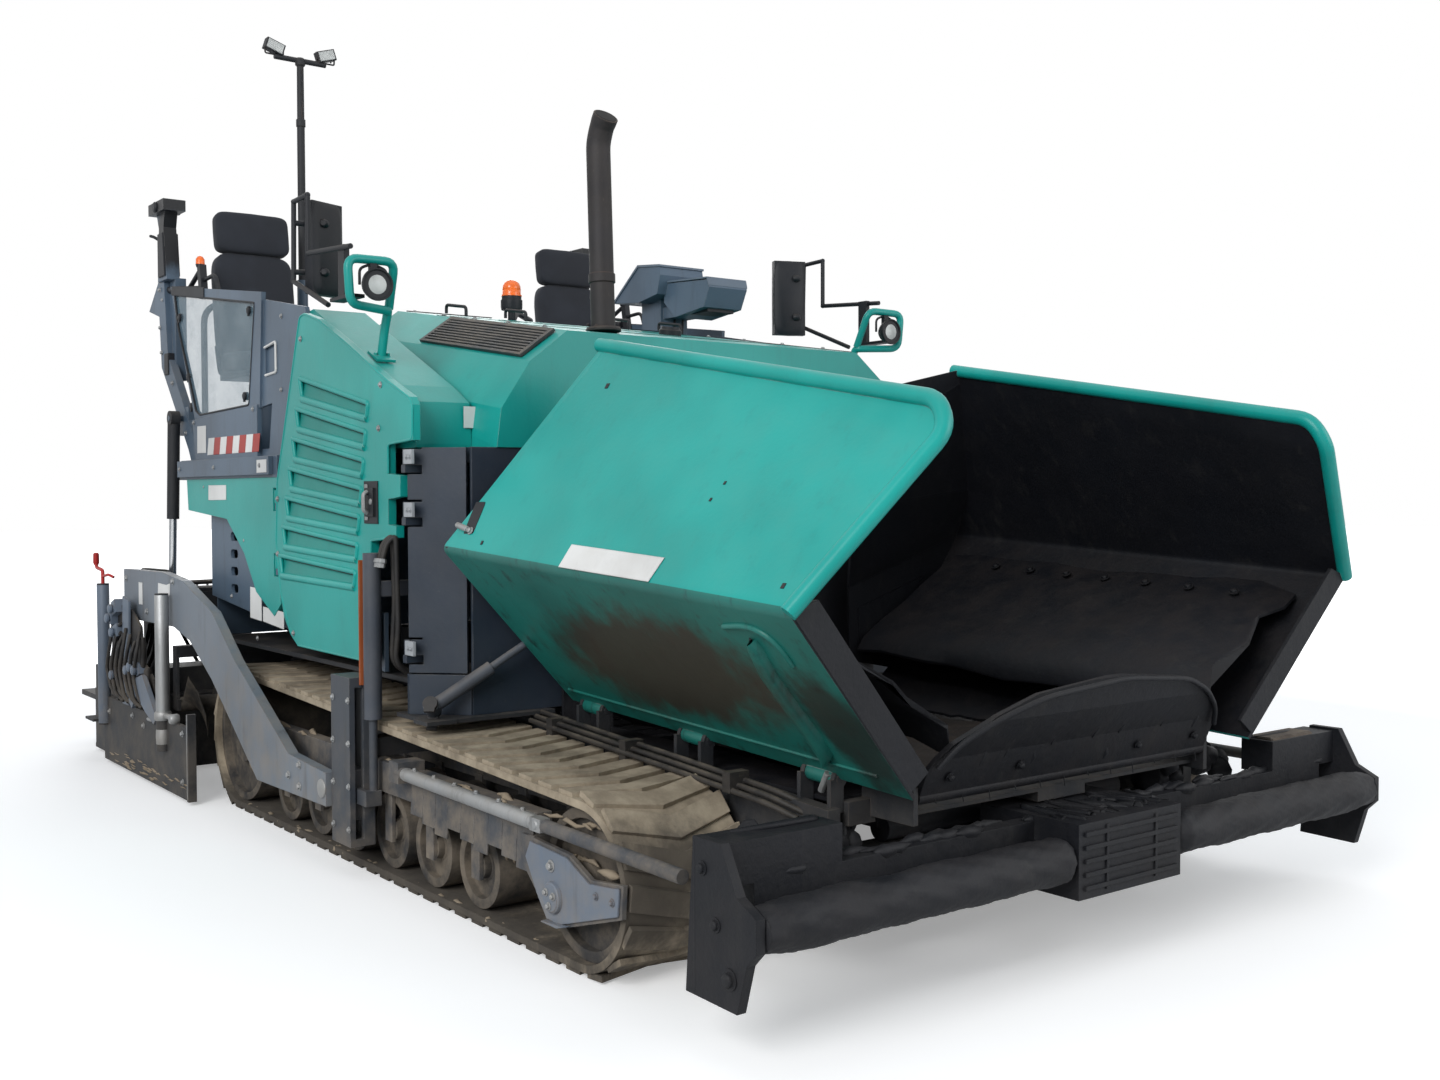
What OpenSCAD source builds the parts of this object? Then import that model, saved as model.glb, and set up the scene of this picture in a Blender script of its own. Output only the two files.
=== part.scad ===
// Tracked asphalt paver: tractor, folding hopper, push rollers and towed extending screed.
// +X is forward, +Y is the machine's left, +Z is up, and the origin is on the ground under the middle.

/* [Tracks] */
// Distance from the centre plane to the outer edge of a track
track_outer_y = 1425; // [1400:1440]
// Width of a track belt
track_width = 460; // [400:460]
// Outer radius of the belt round the rear drive wheel
drive_radius = 345; // [330:360]
// Outer radius of the belt round the front idler
idler_radius = 285; // [270:300]
// Thickness of a belt
belt_thickness = 40; // [30:50]
// Height of the chevron lugs on the belt
lug_height = 14; // [8:18]
// Number of chevron lugs round one belt
lug_count = 64; // [40:70]

/* [Bodywork] */
// Distance from the centre plane to the outside of the side flaps
body_side_y = 1400; // [1390:1405]
// Height of the operator's deck
deck_z = 1660; // [1640:1680]
// Thickness of the louvred side flaps
flap_thickness = 34; // [28:40]
// Number of louvres in a side flap
louvre_count = 7; // [5:7]
// Thickness of plain sheet panels
sheet = 10; // [6:14]

/* [Hopper] */
// Thickness of the wing panels
wing_sheet = 14; // [10:18]
// Diameter of the tube along the wings' edges
wing_tube_d = 52; // [40:60]
// Width of the slat conveyor
conveyor_width = 1180; // [1000:1200]
// Number of slats on the upper run of the conveyor
slat_count = 26; // [10:30]

/* [Push rollers] */
// Diameter of the push rollers
push_roller_d = 150; // [130:170]
// Height of the push rollers' axis
push_roller_z = 386; // [370:400]

/* [Screed] */
// Half of the basic width of the screed
screed_half = 1440; // [1400:1445]
// Height of the sole plates above the ground
screed_lift = 18; // [10:40]
// Diameter of the augers
auger_d = 380; // [340:400]
// Pitch of the augers
auger_pitch = 330; // [300:360]
// Diameter of the telescoping guide tubes
guide_tube_d = 110; // [90:120]

/* [Operator station] */
// Width of a seat
seat_width = 450; // [400:480]
// Height of the lamp mast above its foot
mast_height = 1240; // [1000:1300]

/* [Hidden] */
$fn = 32;
track_mid_y = track_outer_y - track_width / 2;
drive_at = [-900, drive_radius];
idler_at = [2210, idler_radius];
road_wheel_x = [-320, 40, 400, 760, 1120, 1480];
road_wheel_r = 150;
fit_gap = 0.3;
pin_gap = 0.3;

// hopper wing corners: rear and front of the hinge line, the knuckle and the top edge
hinge_rear = [1250, 850, 715];
hinge_front = [3110, 850, 630];
knuckle_rear = [1174, 1370, 1317];
knuckle_front = [3174, 1377, 1205];
crease_rear = [1345, 1262, 1537];
crease_front = [3246, 1212, 1412];
shoulder_rear = [1575, 962, 2010];
shoulder_front = [3325, 975, 1660];
top_rear = [1600, 930, 2060];
top_front = [3335, 929, 1750];
// where the wings' hinges are, the half length of a hinge tube and how far the wings open
wing_hinge_x = [1420, 2060, 2720];
wing_hinge_half = 60;
wing_hinge_pin_d = 30;
wing_open = 43;

// screed towing geometry
tow_pin = [470, 1490, 330];
tow_pin_d = 50;
lift_pin_top = [-1900, 1400, 1930];
lift_pin_low = [-1960, 1400, 1055];
push_pin_x = 2890;
push_roller_x = 3185;
push_pin_d = 90;
mast_at = [-1970, -650];
mast_d = 44;
beacon_at = [-455.3, -150, 2455];
mast_z = 2600;
seat_at = [-1520, 1000];
seat_pedestal = 440;
mirror_at = [-20, 1325, 2585];
mirror_turn = -22;
auger_at = [-1750, 0, 410];
rear_x = -(top_front[0] + wing_tube_d / 2 + 1);
hinge_dir = (hinge_front - hinge_rear) / norm(hinge_front - hinge_rear);
guide_x = -2560;
guide_z = [200, 400];
// hinges of the louvred flaps and of the front doors: place, and heights of the knuckles
flap_hinge = [-445, 1383];
flap_hinge_z = [1180, 1480];
door_hinge = [925, 1392];
door_hinge_z = [900, 1430, 1632];
knuckle_h = 60;
hinge_pin_d = 12;

// wing cylinder: base pin on the tractor and eye on the wing
wing_cyl_base = [1090, 1372, 715];
wing_cyl_eye = [1210, 960, 985];
wing_cyl_pin_d = 28;

function unit(v) = v / norm(v);

// draws for the left side and, mirrored, for the right side
module both_sides() {
    children();
    mirror([0, 1, 0]) children();
}

// draws on the left for side 1 and on the right for side -1
module on_side(side) {
    mirror([0, side < 0 ? 1 : 0, 0]) children();
}

// a round rod from one point to another
module rod(from, to, d, ends = 0) {
    v = to - from;
    len = norm(v);
    b = acos(v[2] / len);
    c = atan2(v[1], v[0]);
    translate(from) rotate([0, b, c]) translate([0, 0, -ends]) cylinder(h = len + 2 * ends, d = d);
}

// a bent tube through a list of points, with round corners
module bent_tube(points, d) {
    for (i = [0 : len(points) - 2]) rod(points[i], points[i + 1], d);
    for (i = [1 : len(points) - 2]) translate(points[i]) sphere(d = d + 2);
}

// a flat or slightly warped plate with four corners, thickened to its inner side
module plate4(a, b, c, d, t) {
    n = unit(cross(c - a, d - b)) * t;
    polyhedron(
        points = [a, b, c, d, a + n, b + n, c + n, d + n],
        faces = [
            [0, 1, 2], [0, 2, 3], [4, 6, 5], [4, 7, 6],
            [0, 5, 1], [0, 4, 5], [1, 6, 2], [1, 5, 6], [2, 7, 3], [2, 6, 7], [3, 4, 0], [3, 7, 4]
        ]
    );
}

// a folded sheet between two lines of points, with the offset to its other face at each point
module folded_sheet(a, b, off) {
    n = len(a);
    polyhedron(
        points = concat(a, b, a + off, b + off),
        faces = concat(
            [for (i = [0 : n - 2]) [i, n + i, n + i + 1]],
            [for (i = [0 : n - 2]) [i, n + i + 1, i + 1]],
            [for (i = [0 : n - 2]) [2 * n + i, 3 * n + i + 1, 3 * n + i]],
            [for (i = [0 : n - 2]) [2 * n + i, 2 * n + i + 1, 3 * n + i + 1]],
            [for (i = [0 : n - 2]) [i, 2 * n + i + 1, 2 * n + i]],
            [for (i = [0 : n - 2]) [i, i + 1, 2 * n + i + 1]],
            [for (i = [0 : n - 2]) [n + i, 3 * n + i, 3 * n + i + 1]],
            [for (i = [0 : n - 2]) [n + i, 3 * n + i + 1, n + i + 1]],
            [[0, 2 * n, 3 * n], [0, 3 * n, n]],
            [[n - 1, 2 * n - 1, 4 * n - 1], [n - 1, 4 * n - 1, 3 * n - 1]]
        )
    );
}

// offset in Y and Z to the inner face of a sheet at point i of its profile
function inward(p, i, t) =
    let (
        u = unit(p[min(i + 1, len(p) - 1)] - p[min(i, len(p) - 2)]),
        v = unit(p[max(i, 1)] - p[max(i - 1, 0)]),
        m = unit([0, -(u[2] + v[2]), u[1] + v[1]])
    ) m * t;

// full outline at x from a half outline [y, z]
function full_ring(x, half) = concat(
    [for (p = half) [x, p[0], p[1]]],
    [for (i = [len(half) - 1 : -1 : 0]) [x, -half[i][0], half[i][1]]]
);

// a body through a rear and a front outline, given as half outlines [y, z] from low outside to top
module loft_x(x0, half0, x1, half1) {
    n = len(half0);
    ring0 = full_ring(x0, half0);
    ring1 = full_ring(x1, half1);
    m = 2 * n;
    polyhedron(
        points = concat(ring0, ring1),
        faces = concat(
            [[for (i = [0 : m - 1]) i]],
            [[for (i = [m - 1 : -1 : 0]) m + i]],
            [for (i = [0 : m - 1]) [i, m + i, m + (i + 1) % m]],
            [for (i = [0 : m - 1]) [i, m + (i + 1) % m, (i + 1) % m]]
        )
    );
}

// an outline in X and Z made into a plate from y to y + t
module side_plate(points, y, t) {
    translate([0, y + t, 0]) rotate([90, 0, 0]) linear_extrude(t) polygon(points);
}

// a bar across the machine from -half to +half
module cross_bar(x, z, w, h, half) {
    translate([x, -half, z]) cube([w, 2 * half, h]);
}

// point of a wing's hinge line at x
function on_hinge(x) = hinge_rear + hinge_dir * (x - hinge_rear[0]) / hinge_dir[0];

module chassis() color("#2d3136") {
    both_sides() {
        side_plate([[-1520, 640], [-1520, 240], [-1400, 190], [2500, 190], [2820, 260], [2820, 560],
            [1200, 640]], 870, 50);
        // final drive beside the rear wheel
        translate([drive_at[0], 915, drive_at[1]]) rotate([-90, 0, 0]) cylinder(h = 79.7, d = 300);
        // carriers that reach under the upper run of the belts
        for (x = [-200, 1000]) translate([x, 915, 345]) cube([260, 49.7, 85]);
        // shelf above the belts, which carries the bodywork
        translate([-1480, 915, 770]) cube([2330, 400, 20]);
        translate([-1480, 870, 620]) cube([2330, 50, 170]);
        translate([-1480, 915, 700]) cube([60, 400, 72]);
        difference() {
            translate([840, 870, 655]) cube([310, 530, 16]);
            translate([1040 - fit_gap, 1300 - fit_gap, 650]) cube([120, 120, 30]);
        }
        translate([835, 870, 655]) cube([15, 445, 135]);
        // lugs and pins of the wings' hinges
        for (x = wing_hinge_x) {
            p = on_hinge(x);
            rod(p - hinge_dir * (wing_hinge_half + 20), p + hinge_dir * (wing_hinge_half + 20),
                wing_hinge_pin_d);
            for (e = [-1, 1]) translate(p + hinge_dir * e * (wing_hinge_half + 10.3)) {
                translate([-8, -14, -105]) cube([16, 55, 105]);
                rotate([0, 90, 0]) cylinder(h = 16, d = 54, center = true);
            }
        }
    }
    cross_bar(-1520, 300, 60, 140 - fit_gap, 900);
    cross_bar(200, 190, 200, 120, 900);
    cross_bar(1600, 190, 160, 120, 900);
    cross_bar(2640, 200, 105, 190, 900);
    // hopper floor in front of the conveyor
    cross_bar(2750, 538, 205, 14, 724 - fit_gap);
    // lugs and pin that the push beam swings on
    for (z = [215, 505]) translate([2755, -120, z]) cube([push_pin_x - 2690, 240, 40]);
    translate([2740, -120, 215]) cube([35, 240, 175]);
    translate([2750, -120, 215]) cube([25, 240, 330]);
    translate([push_pin_x, 0, 220]) cylinder(h = 320, d = push_pin_d);
}

// beams under the engine, between the shelves' uprights
module engine_mounts() color("#2d3136") {
    for (x = [-250, 740]) cross_bar(x, 760, 90, 140 - fit_gap, 870 - fit_gap);
}

// bearing plates and pins of the front apron
module apron_bearings() color("#2d3136") both_sides() {
    translate([2780, 724, 520]) cube([225, 20, 115]);
    translate([2780, 724, 500]) cube([40, 112 - fit_gap, 75]);
    translate([2985, 700, 600]) rotate([-90, 0, 0]) cylinder(h = 40, d = 25);
}

// two lugs at the shelf's corner with the slanted pin that the wing cylinder's foot turns on
module wing_clevises() color("#2d3136") both_sides() {
    b = acos(wing_cyl_axis[2]);
    c = atan2(wing_cyl_axis[1], wing_cyl_axis[0]);
    translate([1040, 1300, 655]) cube([115, 125, 16]);
    translate(wing_cyl_base) rotate([0, b, c]) {
        cylinder(h = 84, d = wing_cyl_pin_d, center = true);
        for (z = [-42, 28]) {
            translate([0, 0, z]) cylinder(h = 14, d = 56);
            translate([0, -20, z]) cube([z < 0 ? 34 : 76, 40, 14]);
        }
    }
}

// guides that the tow slides ride in: plates joined at their ends, open to front and rear
module tow_guides() color("#565c66") both_sides() {
    difference() {
        translate([520, 1430, 130]) cube([180, 105, 670]);
        translate([545, 1452, 160]) cube([130, 60, 600]);
        translate([500, 1478, 160]) cube([220, 34, 600]);
    }
    translate([560, 920.3, 470.3]) cube([100, 520, 75]);
}

module engine_block() color("#3a3a3c") {
    translate([-300, -450, 900]) cube([1150, 900, 850]);
}

// half outlines of the hood, from low outside to the top, at its rear and its front
hood_x = [-420, 1110];
hood_rear = [[1100, 1700], [1085, 2080], [960, 2270], [790, 2400]];
hood_front = [[1100, 1700], [1080, 1850], [950, 2040], [780, 2170]];

function inset(half, t) = [
    [half[0][0] - t, half[0][1] - 100], [half[1][0] - t, half[1][1] - t / 2],
    [half[2][0] - t, half[2][1] - t], [half[3][0] - t / 2, half[3][1] - 1.4 * t]
];

module hood() color("#35a58c") {
    difference() {
        loft_x(hood_x[0], hood_rear, hood_x[1], hood_front);
        loft_x(hood_x[0] - 20, inset(hood_rear, sheet), hood_x[1] - sheet, inset(hood_front, sheet));
    }
}

// slatted intake that lies on the hood's shoulder
module hood_grille() color("#4a4a4c") both_sides() {
    fall = atan2(hood_rear[2][1] - hood_front[2][1], hood_x[1] - hood_x[0]);
    tilt = atan2(hood_rear[3][1] - hood_rear[2][1], hood_rear[2][0] - hood_rear[3][0]);
    x0 = 140;
    drop = (x0 - hood_x[0]) * tan(fall);
    translate([x0, hood_rear[2][0] - 3.5, hood_rear[2][1] - drop]) rotate([0, fall, 0])
        rotate([180 - tilt, 0, 0]) translate([0, 14, -13]) difference() {
            cube([900, 186, 13]);
            for (i = [0 : 8]) translate([25, 14 + i * 18, -4]) cube([850, 9, 11]);
        }
}

module body_sides() color("#35a58c") both_sides() {
    // shoulder beside the hood
    side_plate([[-420, 1700], [-420, 2300], [-100, 2335], [760, 1950], [890, 1880], [905, 1715],
        [905, 1700]], 1100, 240);
    // wedge under the deck, behind the louvred flap, with room for the flap's hinges
    difference() {
        side_plate([[-1710, 1599.7], [-1690, 1440], [-1100, 1400], [-860, 1240], [-700, 1060],
            [-470, 960], [-385, 1020], [-440, 1300], [-420, 1580], [-413, 1599.7]], 1339, 56);
        for (z = flap_hinge_z) translate([flap_hinge[0] - 22, 1330, z - 36]) cube([80, 80, 106]);
    }
}

module side_skirts() color("#56606f") both_sides() {
    // hinge pins of the louvred flap, in brackets
    for (z = flap_hinge_z) {
        translate([flap_hinge[0] - 12, 1336, z - 30]) cube([24, 54, 29.7]);
        translate([flap_hinge[0], flap_hinge[1], z - 10]) cylinder(h = 66, d = hinge_pin_d);
    }
    translate([flap_hinge[0] - 100, 1320, 1030]) cube([124, 18, 570]);
    difference() {
        side_plate([[-1500, 1600], [-1500, 1000], [600, 800], [600, 1040], [-480, 1040],
            [-480, 1600]], 1320, 18);
        for (i = [0 : 3]) {
            for (x = [-1190, -1130]) translate([x, 1300, 1050 + i * 87]) rotate([-90, 0, 0])
                cylinder(h = 60, d = 44);
            translate([-1190, 1300, 1028 + i * 87]) cube([60, 60, 44]);
        }
    }
}

module front_wall() color("#3f4757") {
    translate([1090, -1206, 671.3]) cube([14, 2412, 1028.4]);
    both_sides() {
        translate([905, 1150, 671.3]) cube([12, 170, 1028.4]);
        translate([905, 1180, 671.3]) cube([190, 12, 60]);
        translate([905, 1180, 1640]) cube([190, 12, 59.7]);
        // fixed corner panel under the front door
        translate([905, 1310, 671.3]) cube([12, 74, 154.7]);
        translate([door_hinge[0], door_hinge[1], 671.3]) rotate([0, 0, -45])
            translate([4, -24, 0]) cube([248, 20, 154.7]);
        // hinge pins of the front doors
        for (z = door_hinge_z) {
            translate([door_hinge[0] - 20, 1300, z - 30]) cube([32, 102, 29.7]);
            translate([door_hinge[0], door_hinge[1], z - 10]) cylinder(h = 66, d = hinge_pin_d);
        }
    }
}

module operator_deck() color("#565c66") {
    // sockets of the two seats
    both_sides() {
        translate([seat_at[0], seat_at[1], deck_z - 5]) cylinder(h = seat_pedestal + 5, d = 240);
        translate([seat_at[0], seat_at[1], deck_z - 5]) cylinder(h = 35, d = 380);
    }
    // lower tube of the lamp mast, with its foot
    difference() {
        translate([mast_at[0], mast_at[1], deck_z - 20]) cylinder(h = 1100, d = 60);
        translate([mast_at[0], mast_at[1], deck_z + 20]) cylinder(h = 1100, d = mast_d + 2);
    }
    translate([mast_at[0] - 40, mast_at[1] - 60, deck_z - 60]) cube([80, 120, 60]);
    difference() {
        translate([-1980, -1360, deck_z - 60]) cube([1560, 2720, 60]);
        for (i = [0 : 6]) translate([-1900 + i * 200, -1200, deck_z - 4]) cube([100, 2400, 10]);
    }
    translate([-1540, -1300, 790]) cube([14, 2600, 815]);
    translate([-440, -1090, 1650]) cube([14, 2180, 570]);
    both_sides() {
        translate([-1780, 1356, 1600]) cube([1380, 44, 100]);
        translate([-1540, 870, 785]) cube([60, 14, 820]);
    }
}

module side_panels() color("#56606f") both_sides() {
    // lower panel with the stripes
    side_plate([[-1600, 1700], [-700, 1700], [-700, 1945], [-1650, 1910]], 1358, 24);
    // upright panel beside the seats, on a narrow foot
    difference() {
        side_plate([[-800, 1925], [-560, 1945], [-600, 1735], [-740, 1735], [-740, 1700.3],
            [-362, 1700.3], [-352, 1740], [-122, 2296], [-150, 2350], [-734, 2449]], 1340.3, 19.7);
        translate([-640, 1350, 2085]) cube([150, 20, 130]);
    }
    // thick edge of the ledge
    translate([-1780, 1400.3, 1612]) cube([1330, 22, 84]);
    // bars round the window
    difference() {
        side_plate([[-1640, 1915], [-690, 1930], [-650, 2470], [-2020, 2650]], 1350, 22);
        side_plate(window_outline, 1345, 40);
    }
}

// outline of the side window's glass
window_outline = [[-1620, 1960], [-1560, 1935], [-830, 1950], [-740, 2430], [-1960, 2600], [-1900, 2420]];

module side_windows() color("#bcd3dc") both_sides() {
    side_plate(window_outline, 1356, 8);
}

module rear_posts() color("#4a5260") both_sides() {
    y = 1315.7;
    side_plate([[-1580, 1660.3], [-1730, 1660.3], [-1800, 1760], [-2250, 2230], [-2300, 2700],
        [-2190, 2705], [-2140, 2290], [-1680, 1790]], y, 40);
    // gusset at the head
    side_plate([[-2300, 2700], [-2200, 2860], [-2150, 2860], [-2190, 2705], [-2230, 2500],
        [-2470, 2560]], y + 1, 38);
    // dark column behind the post
    translate([-2180, y - 50, 2150]) cube([90, 60, 560]);
    // bracket and pin of the lift cylinder
    translate([-1960, 1317, 1840]) cube([160, 36, 150]);
    translate([lift_pin_top[0], 1340, lift_pin_top[2]]) rotate([-90, 0, 0]) cylinder(h = 88, d = 30);
    // clamp with a tee bar on the post
    side_plate([[-2250, 2700], [-2090, 2700], [-2140, 2990], [-2110, 3080], [-2260, 3080],
        [-2220, 2990]], y - 16, 70);
    translate([-2320, y - 40, 3070]) cube([270, 120, 60]);
}

module control_console() color("#565c66") {
    // instrument pod with its hood
    side_plate([[-800, 2590], [-560, 2770], [-360, 2750], [-350, 2700], [-380, 2600], [-560, 2570]],
        700, 290);
    // second pod and its post
    side_plate([[-400, 2560], [-390, 2660], [-10, 2640], [10, 2600], [-40, 2500], [-300, 2470]],
        760, 250);
    translate([-640, 780, deck_z + fit_gap]) cube([180, 180, 930]);
    translate([-600, 800, 2480]) cube([260, 150, 60]);
    // low console between the seats
    side_plate([[-900, deck_z + fit_gap], [-520, deck_z + fit_gap], [-480, 2180], [-520, 2240],
        [-820, 2150]], -420, 560);
}

module exhaust_pipe() color("#3c3733") {
    bend = [905, -500, 3020];
    difference() {
        union() {
            translate([940, -500, 2196]) rotate([0, 8.55, 0]) cylinder(h = 14, d = 150);
            rod([939.5, -500, 2206], bend, 104);
            translate(bend) sphere(d = 106);
            rod(bend, [960, -500, 3085], 104);
        }
        rod([930, -500, 2500], bend, 88);
        translate(bend) sphere(d = 90);
        rod(bend, [966, -500, 3092], 88, 5);
    }
}

module lamp_guards() color("#2f8f78") both_sides() {
    bent_tube([[520, 1290, 2180], [560, 1290, 2275], [650, 1510, 2280], [650, 1510, 2440],
        [640, 1290, 2445], [560, 1290, 2275]], 36);
    rod([487.5, 1290, 2078], [520, 1290, 2200], 36);
    // foot on the sloping shoulder
    translate([487.5, 1290, 2072]) rotate([0, 24.1, 0]) translate([-50, -40, 0.3]) cube([100, 80, 12]);
}

module work_lamps() color("#1d2a28") both_sides() {
    translate([640, 1400, 2345]) rotate([0, 90, 0]) cylinder(h = 70, d1 = 90, d2 = 130);
    translate([640, 1385, 2345]) cube([30, 30, 76.7]);
}

module wing_mirror() color("#1c1c1e") both_sides() {
    translate(mirror_at) rotate([0, 0, mirror_turn]) difference() {
        translate([-20, -88, -200]) cube([45, 176, 400]);
        translate([-25, -76, -188]) cube([12, 152, 376]);
    }
    bent_tube([[560, 1450, 2510], [120, 1450, 2540], [120, 1450, 2785], [-35, 1450, 2780],
        [-45, 1450, 2440], [330, 1450, 2300]], 22);
    for (z = [2480, 2690]) rod([-40, 1450, z], [-10, 1330, z], 24);
    // post on the handle loop
    translate([430, 1425, 2298]) cube([60, 24, 230]);
    translate([430, 1425, 2298]) cube([205, 60, 14]);
}

module beacons() color("#e07020") {
    translate(beacon_at) {
        cylinder(h = 70, d = 110);
        translate([0, 0, 69]) cylinder(h = 60, d1 = 104, d2 = 92);
        translate([0, 0, 128]) cylinder(h = 26, d1 = 92, d2 = 44);
    }
    bent_tube([beacon_at + [0, 0, -355], beacon_at + [0, 0, -70], beacon_at + [-110, 90, 5],
        beacon_at + [-330, 300, 0]], 30);
    translate(beacon_at + [0, 0, -75]) cylinder(h = 80, d = 34);
    both_sides() {
        translate([-1640, 1309.7, 2540]) rotate([0, -10, 0]) cube([50, 40, 190]);
        translate([-1650, 1330, 2722]) cylinder(h = 50, d = 46);
    }
}

// closed outline of a belt in X and Z, inset by t from its outer face
module belt_outline(t) {
    hull() {
        translate(drive_at) circle(r = drive_radius - t, $fn = 96);
        translate(idler_at) circle(r = idler_radius - t, $fn = 96);
    }
}

span = idler_at - drive_at;
span_len = norm(span);
// angle of the upper run's normal, measured from X
upper_angle = atan2(span[1], span[0]) + acos((drive_radius - idler_radius) / span_len);
lower_angle = atan2(span[1], span[0]) - acos((drive_radius - idler_radius) / span_len);
run_len = sqrt(pow(span_len, 2) - pow(drive_radius - idler_radius, 2));
front_arc = idler_radius * (upper_angle - lower_angle) * PI / 180;
rear_arc = drive_radius * (360 - upper_angle + lower_angle) * PI / 180;
belt_len = 2 * run_len + front_arc + rear_arc;

function on_circle(c, r, a) = [c[0] + r * cos(a), c[1] + r * sin(a), a];

// point and outward angle at distance s along the belt's outer face, from the upper run's rear end
function belt_point(s) =
    s < run_len
        ? concat([drive_at[0] + drive_radius * cos(upper_angle) + s * sin(upper_angle),
            drive_at[1] + drive_radius * sin(upper_angle) - s * cos(upper_angle)], [upper_angle])
    : s < run_len + front_arc
        ? on_circle(idler_at, idler_radius, upper_angle - (s - run_len) / idler_radius * 180 / PI)
    : s < 2 * run_len + front_arc
        ? concat([idler_at[0] + idler_radius * cos(lower_angle)
                + (s - run_len - front_arc) * sin(lower_angle),
            idler_at[1] + idler_radius * sin(lower_angle)
                - (s - run_len - front_arc) * cos(lower_angle)], [lower_angle])
    : on_circle(drive_at, drive_radius,
        lower_angle - (s - 2 * run_len - front_arc) / drive_radius * 180 / PI);

module track(side) color("#8d8068") on_side(side) {
    translate([0, track_outer_y, 0]) rotate([90, 0, 0]) linear_extrude(track_width) difference() {
        belt_outline(lug_height);
        belt_outline(belt_thickness);
    }
    for (i = [0 : lug_count - 1]) {
        p = belt_point(i * belt_len / lug_count);
        translate([p[0], track_mid_y, p[1]]) rotate([0, 90 - p[2], 0]) chevron_lug();
    }
}

// one lug: two slanted bars that meet in the middle, pointing forward
module chevron_lug() {
    half = track_width / 2 - 5;
    w = 84;
    lead = 62;
    translate([0, 0, -lug_height - 6]) linear_extrude(lug_height + 6) polygon([
        [-w / 2 - lead, -half], [w / 2 - lead, -half], [w / 2, 0], [w / 2 - lead, half],
        [-w / 2 - lead, half], [-w / 2, 0]
    ]);
}

module ribbed_wheel(r, w, hub) {
    rotate([90, 0, 0]) difference() {
        cylinder(h = w, r = r, center = true, $fn = 64);
        for (z = [-1, 1]) translate([0, 0, z * w / 2]) cylinder(h = 60, r = r - 35, center = true);
    }
    rotate([90, 0, 0]) cylinder(h = w, r = hub, center = true);
}

module track_wheels() color("#3b3733") both_sides() {
    belly = 1;
    translate([drive_at[0], track_mid_y, drive_at[1]])
        ribbed_wheel(drive_radius - belt_thickness - belly, track_width - 60, 120);
    translate([idler_at[0], track_mid_y, idler_at[1]])
        ribbed_wheel(idler_radius - belt_thickness - belly, track_width - 60, 70);
    for (x = road_wheel_x) translate([x, track_mid_y, belt_thickness + road_wheel_r + belly + 2])
        ribbed_wheel(road_wheel_r, track_width - 80, 45);
}

module track_frames() color("#4d535c") both_sides() {
    translate([-500, track_mid_y + 170, 350]) cube([2450, 60, 120]);
    translate([-500, track_mid_y - 230, 350]) cube([2450, 30, 120]);
    // brackets at the ends of the wheels' axles
    for (x = road_wheel_x) {
        translate([x - 30, track_mid_y + 190.3, 150]) cube([60, 16, 220]);
        translate([x - 30, track_mid_y - 210, 150]) cube([60, 19.7, 220]);
    }
    // outer plate over the idler, its axle and the strut along the track
    side_plate([[1900, 300], [2020, 200], [2060, 140], [2150, 140], [2490, 245], [2500, 350],
        [2320, 330], [2190, 385], [1900, 400]], track_outer_y + 8, 16);
    translate([1920, track_mid_y + 170, 350]) cube([50, 80, 50]);
    translate([idler_at[0], track_mid_y + 200.3, idler_at[1]]) rotate([-90, 0, 0])
        cylinder(h = track_width / 2 - 190, d = 80);
    rod([1000, 1470, 470], [2830, 1470, 450], 44);
    translate([960, 1380, 430]) cube([80, 110, 80]);
}

module conveyor() color("#4b4440") {
    length = 4180;
    cross_bar(-1480, 470, length, 20, conveyor_width / 2);
    for (i = [0 : slat_count - 1]) cross_bar(-1440 + i * 160, 488, 50, 24, conveyor_width / 2 - 30);
    translate([length - 1480, 0, 440]) rotate([90, 0, 0])
        cylinder(h = conveyor_width, d = 90, center = true);
    both_sides() translate([-1480, conveyor_width / 2, 440]) cube([length, 12, 120]);
}

module hopper_rear_wall() color("#26221f") {
    difference() {
        translate([1150, -840, 500]) cube([14, 1680, 1280]);
        translate([1140, -conveyor_width / 2 - 16, 440]) cube([40, conveyor_width + 32, 360]);
    }
    both_sides() translate([1160, conveyor_width / 2 + 12.3, 560.3])
        cube([1585, 820 - conveyor_width / 2, 14]);
    for (y = [-500, 500]) translate([1104.3, y - 30, 900]) cube([50, 60, 600]);
}

module tow_cylinders() color("#8b9097") both_sides() {
    difference() {
        translate([760, 1462, 640]) cylinder(h = 650, d = 70);
        translate([760, 1462, 630]) cylinder(h = 540, d = 36);
    }
    // bracket back to the front wall's side plate
    translate([740, 1296, 1120]) cube([40, 145, 60]);
    translate([740, 1296, 1120]) cube([164.7, 18, 60]);
}

module auger_gearcase() color("#33302d") {
    translate([auger_at[0] - 110, -45, 180]) cube([220, 90, 620]);
    translate([auger_at[0], 0, auger_at[2]]) rotate([90, 0, 0])
        cylinder(h = 2 * 51.7, d = 130, center = true);
    // beam over the augers and the plate in front of them
    translate([auger_at[0] - 60, -1300, 660]) cube([60, 2600, 90]);
    difference() {
        translate([-1540, -1300, 560]) cube([14, 2600, 224.7]);
        // mouth of the conveyor tunnel
        translate([-1560, -conveyor_width / 2, 540]) cube([60, conveyor_width, 160]);
    }
    translate([-1820, -45, 705]) cube([290, 90, 75]);
    both_sides() {
        translate([auger_at[0] - 60, 900, 660]) cube([240, 60, 90]);
        // end bearing of the auger
        translate([auger_at[0] - 40, 1440, 380]) cube([80, 16, 60]);
        translate([auger_at[0] - 40, 1290, 660]) cube([60, 166, 60]);
        translate([auger_at[0] - 40, 1440, 380]) cube([60, 16, 340]);
    }
}

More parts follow.
